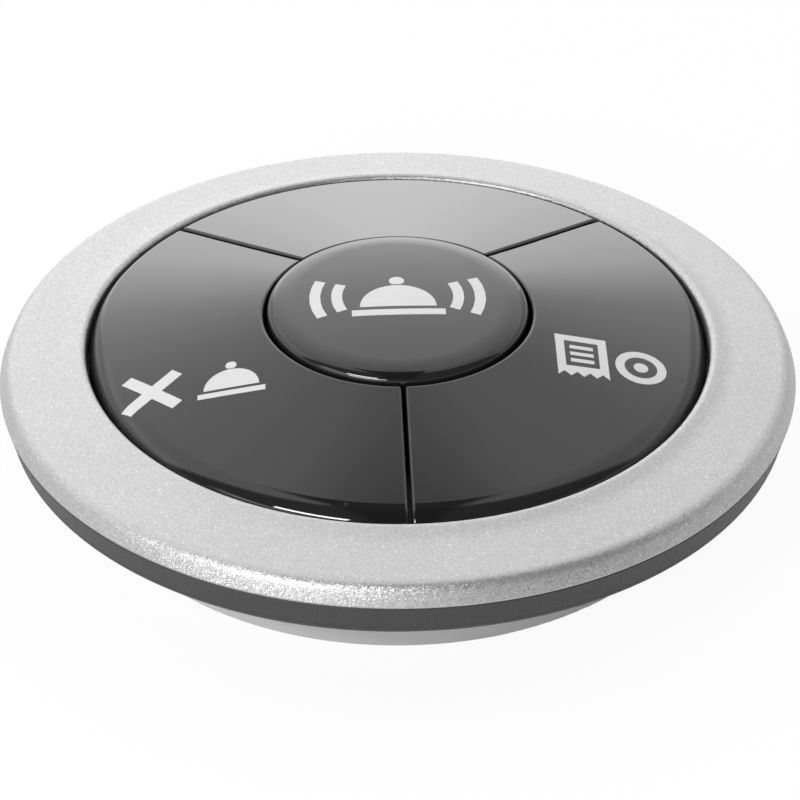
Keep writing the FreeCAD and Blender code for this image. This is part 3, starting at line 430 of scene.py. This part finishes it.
def gloss_material():
    """Polished black plastic."""
    material, tree, shader = new_material("polished_black_plastic", IOR=1.5)
    marks = use_group(tree, smudge, Patch_Size=9 * mm)
    drift = use_group(tree, colour_drift, Colour=cap_black, Amount=0.1, Patch_Size=8 * mm)
    haze = step_up(tree, marks["Haze"], 0.0, 1.0, clean_roughness, hazy_roughness)
    hairlines = math(tree, "MULTIPLY", marks["Hairline"], hairline_roughness)
    feed(tree, shader, Base_Color=drift["Colour"], Roughness=math(tree, "ADD", haze, hairlines))
    return material


gloss = gloss_material()
dress(gloss, "call_key", "cancel_key", "bill_key", "rear_panel")

# The side pieces in section: a cone with a rounding at each end. Towards the rear the outer rounding gets
# tighter, and the inner edge reaches closer to the call key.
well_radius = 14.8 * mm
well_height = 21.143 * mm
well_rounding = 0.5 * mm
rear_well_radius = 14.55 * mm
rear_well_rounding = 0.2 * mm
rim_radius = 34.1 * mm
rim_height = 16.97 * mm
rim_slope = radians(12.2)
front_rounding = 3.0 * mm
rear_rounding = 0.8 * mm
seam_rounding = 0.35 * mm
seam_reach = 1.2 * seam_rounding
skirt_height = 14.4 * mm

# Where each change starts and ends, along Y, and how far from its rounding a point may lie to be moved
rim_change = (-8.0 * mm, 14.0 * mm)
well_change = (-5.0 * mm, 8.0 * mm)
rounding_slack = 0.02 * mm
rim_slack = 0.05 * mm
well_slack = 0.01 * mm
well_reach = 0.12 * mm


def rim_centre(rounding):
    """Centre of the rim's rounding, as radius and height."""
    return Vector((rim_radius - rounding, rim_height + rounding * (tan(rim_slope) - 1 / cos(rim_slope))))


def linked(name, mesh):
    """New object in the scene."""
    thing = bpy.data.objects.new(name, mesh)
    bpy.context.scene.collection.objects.link(thing)
    return thing


def well_centre(radius, rounding):
    """Centre of the inner rounding, as radius and height."""
    height = well_height + (well_radius - radius) * tan(rim_slope)
    return Vector((radius + rounding, height - rounding * (tan(rim_slope) + 1 / cos(rim_slope))))


def smooth_share(value, low, high):
    """Share from 0 to 1 as a value goes from low to high."""
    share = min(max((value - low) / (high - low), 0.0), 1.0)
    return share * share * (3.0 - 2.0 * share)


def rim_place(spot, y):
    """Where a spot of a side piece's section goes; None if it stays."""
    spoke = spot - rim_centre(front_rounding)
    near = front_rounding - seam_reach < spoke.length < front_rounding + rounding_slack
    if min(spoke) > -rim_slack and near:
        share = smooth_share(y, *rim_change)
        rounding = front_rounding + share * (rear_rounding - front_rounding)
        return rim_centre(rounding) + spoke * ((spoke.length + rounding - front_rounding) / spoke.length)
    share = smooth_share(y, *well_change)
    radius = well_radius + share * (rear_well_radius - well_radius)
    rounding = well_rounding + share * (rear_well_rounding - well_rounding)
    spoke = spot - well_centre(well_radius, well_rounding)
    near = spoke.length < well_rounding + rounding_slack
    if spoke.x < well_reach and spoke.y > -well_slack and near:
        return well_centre(radius, rounding) + spoke * (rounding / well_rounding)
    if spot.x < well_radius + seam_rounding + rounding_slack and spoke.y < 0 and spot.y > skirt_height:
        return spot + Vector((radius - well_radius, 0.0))
    return None


def rimmed(node):
    """Copy of a side piece with its edges changed towards the rear, its surface normals kept."""
    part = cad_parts[node]
    mesh = part.data.copy()
    mesh.name = node + "_rimmed"
    mesh.transform(part.matrix_world)
    normals = [corner.vector.copy() for corner in mesh.corner_normals]
    for vertex in mesh.vertices:
        x, y, z = vertex.co
        radius = hypot(x, y)
        place = rim_place(Vector((radius, z)), y)
        if place is not None:
            vertex.co = (x * place.x / radius, y * place.x / radius, place.y)
    mesh.normals_split_custom_set(normals)
    return linked(node + "_rimmed", mesh)


for node, body in (("cancel_key", "cancel_key"), ("bill_key", "bill_key"), ("rear_panel", "housing")):
    piece = rimmed(node)
    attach(piece, body)
    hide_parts(node)


# Printed signs
# A sign in white ink on each key, printed on the finished cap by a soft pad that follows its curve: a bell with
# ringing arcs to call, a cross and a bell to cancel, and a slip with a coin for the bill. The ink is a hair
# thick.

ink_thickness = 0.03 * mm
artwork_height = 30 * mm
artwork_grid = 0.5 * mm
arc_step = radians(9.0)
weld_distance = 0.001 * mm
cut_slack = 0.002 * mm


def new_shape_tree(name, inputs):
    """Geometry nodes tree with named inputs, given as (name, kind, value), and one geometry output."""
    tree = bpy.data.node_groups.new(name, "GeometryNodeTree")
    for socket_name, kind, value in inputs:
        socket = tree.interface.new_socket(socket_name, in_out="INPUT", socket_type="NodeSocket" + kind)
        if value is not None:
            socket.default_value = value
    tree.interface.new_socket("Geometry", in_out="OUTPUT", socket_type="NodeSocketGeometry")
    return tree, tree.nodes.new("NodeGroupInput").outputs


def finish_shape(tree, geometry, material, sharp_angle=radians(35.0)):
    """Realizes the geometry, shades it smooth except over sharp edges, and sets its material."""
    real = add_node(tree, "GeometryNodeRealizeInstances", {"Geometry": geometry}).outputs[0]
    smooth = add_node(tree, "GeometryNodeSetShadeSmooth", {"Geometry": real, "Shade Smooth": True}).outputs[0]
    angle = add_node(tree, "GeometryNodeInputMeshEdgeAngle").outputs[0]
    sharp = add_node(tree, "FunctionNodeCompare", {"A": angle, "B": sharp_angle},
                     operation="GREATER_THAN").outputs[0]
    creased = add_node(tree, "GeometryNodeSetShadeSmooth",
                       {"Geometry": smooth, "Selection": sharp, "Shade Smooth": False},
                       domain="EDGE").outputs[0]
    coated = add_node(tree, "GeometryNodeSetMaterial", {"Geometry": creased, "Material": material}).outputs[0]
    tree.links.new(coated, tree.nodes.new("NodeGroupOutput").inputs[0])


def shaped_mesh(name, tree, **values):
    """Runs a tree with named inputs, with underscores for spaces, and keeps its result as a plain mesh."""
    carrier = linked(name + "_carrier", bpy.data.meshes.new(name + "_carrier"))
    modifier = carrier.modifiers.new("shape", "NODES")
    modifier.node_group = tree
    for item in tree.interface.items_tree:
        key = item.name.replace(" ", "_")
        if item.in_out == "INPUT" and key in values:
            modifier[item.identifier] = values[key]
    mesh = bpy.data.meshes.new_from_object(carrier.evaluated_get(bpy.context.evaluated_depsgraph_get()))
    mesh.name = name
    if mesh.materials[0] is None:
        mesh.materials.pop(index=0)
    bpy.data.objects.remove(carrier)
    return mesh


def box_outline(left, low, right, high):
    """Corners of an upright rectangle."""
    return [(left, low), (right, low), (right, high), (left, high)]


def arc_points(centre, radius, start, end):
    """Points along an arc; angles are in degrees, anticlockwise from the right."""
    steps = max(round(radians(abs(end - start)) / arc_step), 2)
    angles = [radians(start + (end - start) * i / steps) for i in range(steps + 1)]
    return [(centre[0] + radius * cos(angle), centre[1] + radius * sin(angle)) for angle in angles]


def bow_outline(centre, radius, stroke, start, end):
    """Outline of a thick arc."""
    outer = arc_points(centre, radius + stroke / 2, start, end)
    return outer + arc_points(centre, radius - stroke / 2, end, start)


def cross_outline(centre, reach, stroke):
    """Outline of a diagonal cross."""
    half = stroke / 2
    arms = [(reach, half), (half, half), (half, reach), (-half, reach), (-half, half), (-reach, half),
            (-reach, -half), (-half, -half), (-half, -reach), (half, -reach), (half, -half), (reach, -half)]
    turn = cos(radians(45.0))
    return [(centre[0] + (x - y) * turn, centre[1] + (x + y) * turn) for x, y in arms]


# Parts of the bell, as shares of the dome's radius
dome_drop = 0.5
knob_height = 1.21
knob_radius = 0.2
bell_foot_reach = 1.22
bell_foot_drop = (0.4, 0.14)


def bell_outlines(centre, size):
    """Counter bell: knob, dome and foot; its size is the dome's radius."""
    x, y = centre
    low = y - dome_drop * size
    dome = arc_points((x, low), size, 0, 180)
    knob = arc_points((x, low + knob_height * size), knob_radius * size, -55, 235)
    reach = bell_foot_reach * size
    foot = box_outline(x - reach, low - bell_foot_drop[0] * size, x + reach, low - bell_foot_drop[1] * size)
    return [dome, knob, foot]


# Lines on the slip, as shares of its stroke
line_inset = 1.6
first_line = 0.75
line_pitch = 1.2
line_thickness = 0.6


def slip_outlines(centre, width, height, stroke, teeth):
    """Paper slip with a torn lower edge, drawn as a frame in two halves with three lines in it."""
    x, y = centre
    low, high = y - height / 2, y + height / 2
    pitch = width / (2 * teeth)
    frame_low = low + pitch + stroke
    halves = []
    for side in (-1, 1):
        edge = x + side * width / 2
        torn = [(edge - side * i * pitch, low + (pitch if i % 2 else 0.0)) for i in range(teeth + 1)]
        inner = edge - side * stroke
        hole = [(x, frame_low), (inner, frame_low), (inner, high - stroke), (x, high - stroke)]
        halves.append([(x, high), (edge, high)] + torn + hole)
    reach = width / 2 - line_inset * stroke
    levels = [frame_low + (first_line + i * line_pitch) * stroke for i in range(3)]
    lines = [box_outline(x - reach, level, x + reach, level + line_thickness * stroke) for level in levels]
    return halves + lines


def artwork(name, outlines):
    """Flat drawing over a key, cut on a grid so that it can follow the key's curve."""
    drawing = bmesh.new()
    for outline in outlines:
        drawing.faces.new([drawing.verts.new((x, y, artwork_height)) for x, y in outline])
    bmesh.ops.remove_doubles(drawing, verts=drawing.verts, dist=weld_distance)
    bmesh.ops.triangulate(drawing, faces=drawing.faces)
    for axis in (0, 1):
        places = [vertex.co[axis] for vertex in drawing.verts]
        steps = range(ceil(min(places) / artwork_grid), floor(max(places) / artwork_grid) + 1)
        direction = Vector([float(i == axis) for i in range(3)])
        for step in steps:
            parts = drawing.verts[:] + drawing.edges[:] + drawing.faces[:]
            bmesh.ops.bisect_plane(drawing, geom=parts, plane_co=direction * step * artwork_grid,
                                   plane_no=direction, dist=cut_slack)
    bmesh.ops.triangulate(drawing, faces=drawing.faces)
    bmesh.ops.recalc_face_normals(drawing, faces=drawing.faces)
    if drawing.faces[0].normal.z < 0:
        bmesh.ops.reverse_faces(drawing, faces=drawing.faces)
    mesh = bpy.data.meshes.new(name)
    drawing.to_mesh(mesh)
    drawing.free()
    return linked(name, mesh)


def printed_sign_tree():
    """Lowers a flat drawing onto a key and gives it the thickness of ink."""
    tree, given = new_shape_tree("printed_sign", [
        ("Artwork", "Object", None), ("Key", "Object", None), ("Thickness", "Float", ink_thickness),
        ("Material", "Material", None)])
    drawing = add_node(tree, "GeometryNodeObjectInfo", {"Object": given["Artwork"]}).outputs["Geometry"]
    key = add_node(tree, "GeometryNodeObjectInfo", {"Object": given["Key"]}).outputs["Geometry"]
    cast = add_node(tree, "GeometryNodeRaycast", {"Target Geometry": key, "Ray Direction": (0.0, 0.0, -1.0),
                                                  "Ray Length": artwork_height})
    lowered = add_node(tree, "GeometryNodeSetPosition",
                       {"Geometry": drawing, "Position": cast.outputs["Hit Position"]}).outputs[0]
    raised = add_node(tree, "GeometryNodeExtrudeMesh",
                      {"Mesh": lowered, "Offset": (0.0, 0.0, 1.0), "Offset Scale": given["Thickness"],
                       "Individual": False}).outputs[0]
    base = add_node(tree, "GeometryNodeFlipFaces", {"Mesh": lowered}).outputs[0]
    both = add_node(tree, "GeometryNodeJoinGeometry")
    tree.links.new(raised, both.inputs[0])
    tree.links.new(base, both.inputs[0])
    closed = add_node(tree, "GeometryNodeMergeByDistance",
                      {"Geometry": both.outputs[0], "Distance": weld_distance}).outputs[0]
    finish_shape(tree, closed, given["Material"])
    return tree


white_ink = plastic_material("white_pad_print_ink", (0.57, 0.57, 0.57), roughness=0.42,
                             grain_size=0.12 * mm, grain_depth=0.004 * mm, drift_amount=0.05)
printed_sign = printed_sign_tree()

# Centre of each sign, seen from above
call_place = (0.0 * mm, 0.3 * mm)
cancel_place = (-22.7 * mm, -10.9 * mm)
bill_place = (22.9 * mm, -8.3 * mm)

ringing_bell_size = 4.2 * mm
ringing_radii = (6.7 * mm, 9.1 * mm)
ringing_stroke = 1.2 * mm
ringing_reach = 23
small_bell_size = 3.0 * mm
cross_reach = 3.9 * mm
cross_stroke = 1.5 * mm
cancel_spacing = 4.3 * mm
slip_size = (5.6 * mm, 6.9 * mm)
slip_stroke = 0.95 * mm
slip_teeth = 4
coin_radius = 2.3 * mm
coin_stroke = 1.0 * mm
coin_dot = 0.8 * mm
coin_drop = 0.5 * mm
bill_spacing = 3.2 * mm


def call_sign():
    """Bell with two ringing arcs on each side."""
    arcs = [bow_outline(call_place, radius, ringing_stroke, middle - ringing_reach, middle + ringing_reach)
            for radius in ringing_radii for middle in (0, 180)]
    return bell_outlines(call_place, ringing_bell_size) + arcs


def cancel_sign():
    """Cross and a small bell."""
    x, y = cancel_place
    cross = cross_outline((x - cancel_spacing, y), cross_reach, cross_stroke)
    return [cross] + bell_outlines((x + cancel_spacing, y), small_bell_size)


def bill_sign():
    """Slip with lines on it, and a coin."""
    x, y = bill_place
    slip = slip_outlines((x - bill_spacing, y), *slip_size, slip_stroke, slip_teeth)
    coin = (x + bill_spacing, y - coin_drop)
    halves = [bow_outline(coin, coin_radius, coin_stroke, start, start + 180) for start in (0, 180)]
    return slip + halves + [arc_points(coin, coin_dot, 0, 340)]


for node, outlines in (("call_key", call_sign()), ("cancel_key", cancel_sign()), ("bill_key", bill_sign())):
    flat = artwork(node + "_artwork", outlines)
    sign_mesh = shaped_mesh(node + "_sign", printed_sign, Artwork=flat, Key=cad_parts[node],
                            Material=white_ink)
    sign = linked(node + "_sign", sign_mesh)
    bpy.data.objects.remove(flat)
    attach(sign, node)


# Silver ring
# One injection moulding: a lip, a slope and a shoulder turned from one section over a flat seat, with four
# bosses under it for the housing's screws. It is sprayed with silver lacquer, in which fine aluminium flakes
# lie nearly flat, so that a few of them flash while the rest stay a satin grey. A few coarse flakes are also
# painted brighter as a painted glint, and the steep shoulder and wall are painted darker as painted shade.

# Radius, height and rounding of each corner of the section
ring_corners = (
    (34.4 * mm, 13.75 * mm, 0.0),
    (34.4 * mm, 17.38 * mm, 0.6 * mm),
    (36.6 * mm, 16.393 * mm, 6.0 * mm),
    (43.116 * mm, 15.326 * mm, 1.7 * mm),
    (44.096 * mm, 12.9 * mm, 0.2 * mm),
    (42.0 * mm, 12.9 * mm, 0.0),
    (42.0 * mm, 13.75 * mm, 0.0),
)
turning_radius = 40.0 * mm


def section_drawing(name, corners):
    """Closed line through the corners of a section, with each corner's rounding as an attribute."""
    mesh = bpy.data.meshes.new(name)
    places = [(radius - turning_radius, height, 0.0) for radius, height, rounding in corners]
    mesh.from_pydata(places, [(i, (i + 1) % len(corners)) for i in range(len(corners))], [])
    roundings = mesh.attributes.new("rounding", "FLOAT", "POINT")
    for point, corner in zip(roundings.data, corners):
        point.value = corner[2]
    return linked(name, mesh)


def rods(tree, circle_radius, radius, low, high):
    """Four upright rods on the screw circle."""
    depth = math(tree, "SUBTRACT", high, low)
    rod = add_node(tree, "GeometryNodeMeshCylinder",
                   {"Vertices": 48, "Radius": radius, "Depth": depth}).outputs[0]
    corners = add_node(tree, "GeometryNodeMeshCircle", {"Vertices": 4, "Radius": circle_radius}).outputs[0]
    middle = math(tree, "MULTIPLY", math(tree, "ADD", low, high), 0.5)
    lift = add_node(tree, "ShaderNodeCombineXYZ", {"Z": middle}).outputs[0]
    placed = add_node(tree, "GeometryNodeTransform", {"Geometry": corners, "Translation": lift,
                                                      "Rotation": (0.0, 0.0, radians(45.0))}).outputs[0]
    return add_node(tree, "GeometryNodeInstanceOnPoints", {"Points": placed, "Instance": rod}).outputs[0]


def turned_ring_tree():
    """Turns a section into a ring, adds the bosses and bores the screw holes."""
    tree, given = new_shape_tree("turned_ring", [
        ("Section", "Object", None), ("Turning Radius", "Float", turning_radius), ("Segments", "Int", 288),
        ("Circle Radius", "Float", 38.4 * mm), ("Boss Radius", "Float", 2.2 * mm),
        ("Boss Low", "Float", 10.65 * mm), ("Boss High", "Float", 14.1 * mm),
        ("Pilot Radius", "Float", 1.35 * mm), ("Pilot High", "Float", 14.63 * mm),
        ("Material", "Material", None)])
    drawing = add_node(tree, "GeometryNodeObjectInfo", {"Object": given["Section"]}).outputs["Geometry"]
    line = add_node(tree, "GeometryNodeMeshToCurve", {"Mesh": drawing}).outputs[0]
    rounding = add_node(tree, "GeometryNodeInputNamedAttribute", {"Name": "rounding"}).outputs[0]
    section = add_node(tree, "GeometryNodeFilletCurve", {"Curve": line, "Count": 10, "Radius": rounding},
                       mode="POLY").outputs[0]
    circle = add_node(tree, "GeometryNodeCurvePrimitiveCircle",
                      {"Resolution": given["Segments"], "Radius": given["Turning Radius"]}).outputs[0]
    swept = add_node(tree, "GeometryNodeCurveToMesh", {"Curve": circle, "Profile Curve": section}).outputs[0]
    upright = add_node(tree, "GeometryNodeTransform",
                       {"Geometry": swept, "Rotation": (pi, 0.0, 0.0)}).outputs[0]
    ring = add_node(tree, "GeometryNodeMergeByDistance",
                    {"Geometry": upright, "Distance": weld_distance}).outputs[0]
    bosses = rods(tree, given["Circle Radius"], given["Boss Radius"], given["Boss Low"], given["Boss High"])
    below = math(tree, "SUBTRACT", given["Boss Low"], 1.0 * mm)
    pilots = rods(tree, given["Circle Radius"], given["Pilot Radius"], below, given["Pilot High"])
    both = add_node(tree, "GeometryNodeMeshBoolean", operation="UNION", solver="EXACT")
    tree.links.new(ring, both.inputs["Mesh 2"])
    tree.links.new(bosses, both.inputs["Mesh 2"])
    bored = add_node(tree, "GeometryNodeMeshBoolean", {"Mesh 1": both.outputs[0], "Mesh 2": pilots},
                     operation="DIFFERENCE", solver="EXACT").outputs[0]
    finish_shape(tree, bored, given["Material"])
    return tree


# Width and lean of the fine and the coarse flakes
flake_kinds = ((0.08 * mm, 0.3), (0.14 * mm, 0.22))
fine_shades = (0.86, 1.14)
# Coarse flakes past this level are painted up to this much brighter: a painted glint
painted_glint_limit = 0.95
painted_glint_gain = 1.4

# The lacquer on the near flat top and, past a certain steepness, on the shoulder and wall, where its colour is
# darker as painted shade and it is more metallic and less rough
steepness = (0.97, 0.75)
top_silver = (0.525, 0.525, 0.527, 1.0)
painted_shade_silver = (0.46, 0.46, 0.462, 1.0)
metal_shares = (0.5, 0.95)
silver_roughness = (0.6, 0.46)


def silver_material():
    """Satin lacquer with metal flakes of two sizes, painted darker on its steep sides as painted shade."""
    material, tree, shader = new_material("silver_flake_lacquer", Specular_IOR_Level=0.3)
    place = object_place(tree)
    normal = add_node(tree, "ShaderNodeNewGeometry").outputs["Normal"]
    up = split(tree, add_node(tree, "ShaderNodeTexCoord").outputs["Normal"])[2]
    side = step_up(tree, up, *steepness)
    tilt_sum = normal
    shades = []
    for size, tilt in flake_kinds:
        cells = add_node(tree, "ShaderNodeTexVoronoi", {"Vector": place, "Scale": 1 / size}).outputs["Color"]
        away = add_node(tree, "ShaderNodeVectorMath", {"Vector": cells, "Vector_001": (0.5, 0.5, 0.5)},
                        operation="SUBTRACT").outputs[0]
        leaned = add_node(tree, "ShaderNodeVectorMath", {"Vector": away, "Scale": tilt},
                          operation="SCALE").outputs[0]
        tilt_sum = add_node(tree, "ShaderNodeVectorMath", {"Vector": tilt_sum, "Vector_001": leaned},
                            operation="ADD").outputs[0]
        shades.append(split(tree, cells)[0])
    facing = add_node(tree, "ShaderNodeVectorMath", {"Vector": tilt_sum}, operation="NORMALIZE").outputs[0]
    fine = step_up(tree, shades[0], 0.0, 1.0, *fine_shades)
    # A few coarse flakes painted brighter: a painted glint
    painted_glint = step_up(tree, shades[1], painted_glint_limit, 1.0, 1.0, painted_glint_gain)
    level = math(tree, "MULTIPLY", fine, painted_glint)
    shade = add_node(tree, "ShaderNodeCombineColor", {"Red": level, "Green": level, "Blue": level}).outputs[0]
    # The steep shoulder and wall get a darker colour: painted shade
    lacquer = mixed_colour(tree, side, top_silver, painted_shade_silver)
    drift = use_group(tree, colour_drift, Colour=lacquer, Amount=0.03, Patch_Size=12 * mm)
    feed(tree, shader, Base_Color=mixed_colour(tree, 1.0, drift["Colour"], shade, "MULTIPLY"), Normal=facing,
         Metallic=step_up(tree, side, 0.0, 1.0, *metal_shares),
         Roughness=step_up(tree, side, 0.0, 1.0, *silver_roughness))
    return material


silver = silver_material()
ring_section = section_drawing("ring_section", ring_corners)
ring_mesh = shaped_mesh("silver_ring", turned_ring_tree(), Material=silver, Section=ring_section)
ring = linked("silver_ring", ring_mesh)
bpy.data.objects.remove(ring_section)
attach(ring, "housing")
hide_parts("bezel_ring")
dress(silver, "bezel_ring")


# Dark lower housing
# The band under the ring and the shallow tray behind it, moulded in dark grey plastic with a fine matt grain.

housing_grey = plastic_material("dark_grey_plastic", (0.0275, 0.0275, 0.028), roughness=0.55,
                                grain_size=0.22 * mm, grain_depth=0.012 * mm, drift_amount=0.06)
dress(housing_grey, "lower_housing")


# Pale foot and battery door
# The foot that the product stands on and the door that slides out of it, both moulded in light grey plastic
# with the same fine matt grain.

foot_grey = plastic_material("pale_grey_plastic", (0.415, 0.41, 0.41), roughness=0.5,
                             grain_size=0.25 * mm, grain_depth=0.01 * mm, drift_amount=0.04)
dress(foot_grey, "base_cover", "battery_door")


# Rubber pads
# Four die-cut discs of black rubber, glued into round seats in the foot.

pad_black = plastic_material("black_pad_rubber", (0.03, 0.03, 0.03), roughness=0.8,
                             grain_size=0.18 * mm, grain_depth=0.02 * mm)
dress(pad_black, "rubber_pads")


# Screws
# Zinc-plated pan-head screws with a cross recess, driven up from below.

zinc = metal_material("zinc_plated_steel", (0.5, 0.49, 0.47), roughness=0.3, scratch_width=0.08 * mm)
dress(zinc, "housing_screws", "cover_screws", "board_screws")


# Table, light and camera
# The product stands on a plain white table in a light tent, which is bright behind it and dark round the
# camera. A softbox and two lamps stand to the left of the camera.

camera_distance = 484 * mm
camera_elevation = radians(33.6)
camera_swing = radians(2.3)
camera_pivot_height = 16.24 * mm
look_at = Vector((0.25 * mm, 0.0, 8.9 * mm))
sensor_width = 36.0
focal_length = 197.2


def make_camera():
    """Camera in front of the product, a little to its left, looking down on it."""
    camera = linked("camera", bpy.data.cameras.new("camera"))
    level = camera_distance * cos(camera_elevation)
    camera.location = (-level * sin(camera_swing), -level * cos(camera_swing),
                       camera_pivot_height + camera_distance * sin(camera_elevation))
    camera.rotation_euler = (look_at - camera.location).to_track_quat("-Z", "Y").to_euler()
    camera.data.sensor_width = sensor_width
    camera.data.lens = focal_length
    camera.data.clip_start = 10 * mm
    bpy.context.scene.camera = camera


make_camera()

table_half_width = 6000 * mm
table_white = (0.85, 0.85, 0.85, 1.0)
table_white_share = 0.93


def seen_directly(tree):
    """1 for what the camera sees, itself or in a reflection or through glass."""
    path = add_node(tree, "ShaderNodeLightPath").outputs
    seen = math(tree, "MAXIMUM", path["Is Camera Ray"], path["Is Glossy Ray"])
    return math(tree, "MAXIMUM", seen, path["Is Transmission Ray"])


def table_material():
    """White surface that keeps a soft shadow of what stands on it."""
    material, tree, shader = new_material("white_table", Base_Color=table_white, Roughness=0.9,
                                          Specular_IOR_Level=0.0)
    white = add_node(tree, "ShaderNodeEmission", {"Strength": 1.0})
    share = math(tree, "MULTIPLY", seen_directly(tree), table_white_share)
    both = add_node(tree, "ShaderNodeMixShader", {"Fac": share})
    tree.links.new(shader.outputs[0], both.inputs[1])
    tree.links.new(white.outputs[0], both.inputs[2])
    tree.links.new(both.outputs[0], tree.nodes["Material Output"].inputs["Surface"])
    return material


def make_table():
    """Flat table top at the height of the pads."""
    half = table_half_width
    mesh = bpy.data.meshes.new("table")
    corners = [(-half, -half, 0), (half, -half, 0), (half, half, 0), (-half, half, 0)]
    mesh.from_pydata(corners, [], [(0, 1, 2, 3)])
    mesh.materials.append(table_material())
    linked("table", mesh)


make_table()

# The tent's brightness follows the direction that is looked in: x to the right, y to the rear and z upward, as
# parts of a step of length 1. Pairs are where a smooth step starts and ends.

# Behind the product, against z
tent_stops = (
    (0.0, 3.1), (0.30, 3.1), (0.36, 2.5), (0.42, 2.0), (0.50, 1.8), (0.60, 1.6), (0.72, 1.45), (1.0, 1.4))
tent_peak = 3.1
tent_fall_to_right = 0.25
middle_gain = 1.3
middle_across = (0.08, 0.3)
middle_bottom = (0.32, 0.42)
middle_top = (0.85, 0.68)
sides_dim = 0.65
sides_across = (0.24, 0.45)
sides_top = (0.52, 0.3)

# Round the camera
front_edge = (-0.06, 0.08)
front_level = 0.22
strip_left_level = 0.8
strip_right_level = 0.26
strip_across = (-0.1, 0.3)
strip_top = (0.34, 0.16)
softbox_level = 3.0
softbox_right = (-0.2, -0.36)
softbox_rear = (-0.2, -0.4)
softbox_bottom = (0.15, 0.42)
softbox_top = (0.58, 0.5)

# The dark slot overhead that a camera can look through
slot_dim = 0.95
slot_across = (0.22, 0.14)
slot_rear = (0.54, 0.46)
slot_bottom = (0.5, 0.7)


def dimmed(tree, level, share, *masks):
    """A brightness, lowered by a share where all masks are 1."""
    loss = product(tree, *masks, share)
    return math(tree, "MULTIPLY", level, math(tree, "SUBTRACT", 1.0, loss))


def wall_behind(tree, x, z):
    """Brightness behind the product: most in the middle, and less low down at the sides."""
    ramp = add_node(tree, "ShaderNodeValToRGB", {"Fac": z})
    stops = ramp.color_ramp.elements
    stops[0].position, stops[1].position = tent_stops[0][0], tent_stops[-1][0]
    for place, level in tent_stops[1:-1]:
        stops.new(place)
    for stop, (place, level) in zip(stops, tent_stops):
        stop.color = (level / tent_peak,) * 3 + (1.0,)
    wall = math(tree, "MULTIPLY", ramp.outputs[0], tent_peak)
    wall = dimmed(tree, wall, tent_fall_to_right, x)
    off_centre = math(tree, "ABSOLUTE", x)
    middle = step_up(tree, off_centre, *middle_across, middle_gain, 1.0)
    band = product(tree, step_up(tree, z, *middle_bottom), step_up(tree, z, *middle_top))
    lift = math(tree, "ADD", 1.0, product(tree, math(tree, "SUBTRACT", middle, 1.0), band))
    wall = math(tree, "MULTIPLY", wall, lift)
    return dimmed(tree, wall, sides_dim, step_up(tree, off_centre, *sides_across), step_up(tree, z, *sides_top))


def wall_in_front(tree, x, y, z):
    """Brightness round the camera: dark, with a pale strip low down and a softbox at the left."""
    strip = product(tree, step_up(tree, x, *strip_across, strip_left_level, strip_right_level),
                    step_up(tree, z, *strip_top))
    across = product(tree, step_up(tree, x, *softbox_right), step_up(tree, y, *softbox_rear))
    upward = product(tree, step_up(tree, z, *softbox_bottom), step_up(tree, z, *softbox_top))
    wall = math(tree, "ADD", front_level, strip)
    return math(tree, "ADD", wall, product(tree, across, upward, softbox_level))


def make_tent():
    """Light tent all round the product; the camera itself sees plain white."""
    world = bpy.data.worlds.new("light_tent")
    bpy.context.scene.world = world
    world.use_nodes = True
    tree = world.node_tree
    background = tree.nodes["Background"]
    x, y, z = split(tree, add_node(tree, "ShaderNodeTexCoord").outputs["Generated"])
    behind = wall_behind(tree, x, z)
    front = wall_in_front(tree, x, y, z)
    step = math(tree, "SUBTRACT", behind, front)
    level = math(tree, "ADD", front, product(tree, step_up(tree, y, *front_edge), step))
    level = dimmed(tree, level, slot_dim, step_up(tree, math(tree, "ABSOLUTE", x), *slot_across),
                   step_up(tree, y, *slot_rear), step_up(tree, z, *slot_bottom))
    seen = add_node(tree, "ShaderNodeLightPath").outputs["Is Camera Ray"]
    unseen = math(tree, "SUBTRACT", 1.0, seen)
    tree.links.new(math(tree, "ADD", seen, product(tree, unseen, level)), background.inputs["Strength"])
    background.inputs["Color"].default_value = (1.0, 1.0, 1.0, 1.0)


make_tent()

lamp_distance = 600 * mm


def make_lamp(name, elevation, azimuth, width, height, power):
    """Rectangular lamp that faces the product; its azimuth is taken from +Y, to the right."""
    light = bpy.data.lights.new(name, "AREA")
    light.shape = "RECTANGLE"
    light.size = width
    light.size_y = height
    light.energy = power
    lamp = linked(name, light)
    level = lamp_distance * cos(elevation)
    lamp.location = (level * sin(azimuth), level * cos(azimuth), lamp_distance * sin(elevation))
    lamp.rotation_euler = (-lamp.location).to_track_quat("-Z", "Y").to_euler()


make_lamp("front_lamp", radians(38.0), radians(-145.5), width=240 * mm, height=45 * mm, power=1.05)
make_lamp("low_lamp", radians(27.0), radians(-153.0), width=300 * mm, height=60 * mm, power=0.9)
bpy.context.scene.view_settings.view_transform = "Standard"
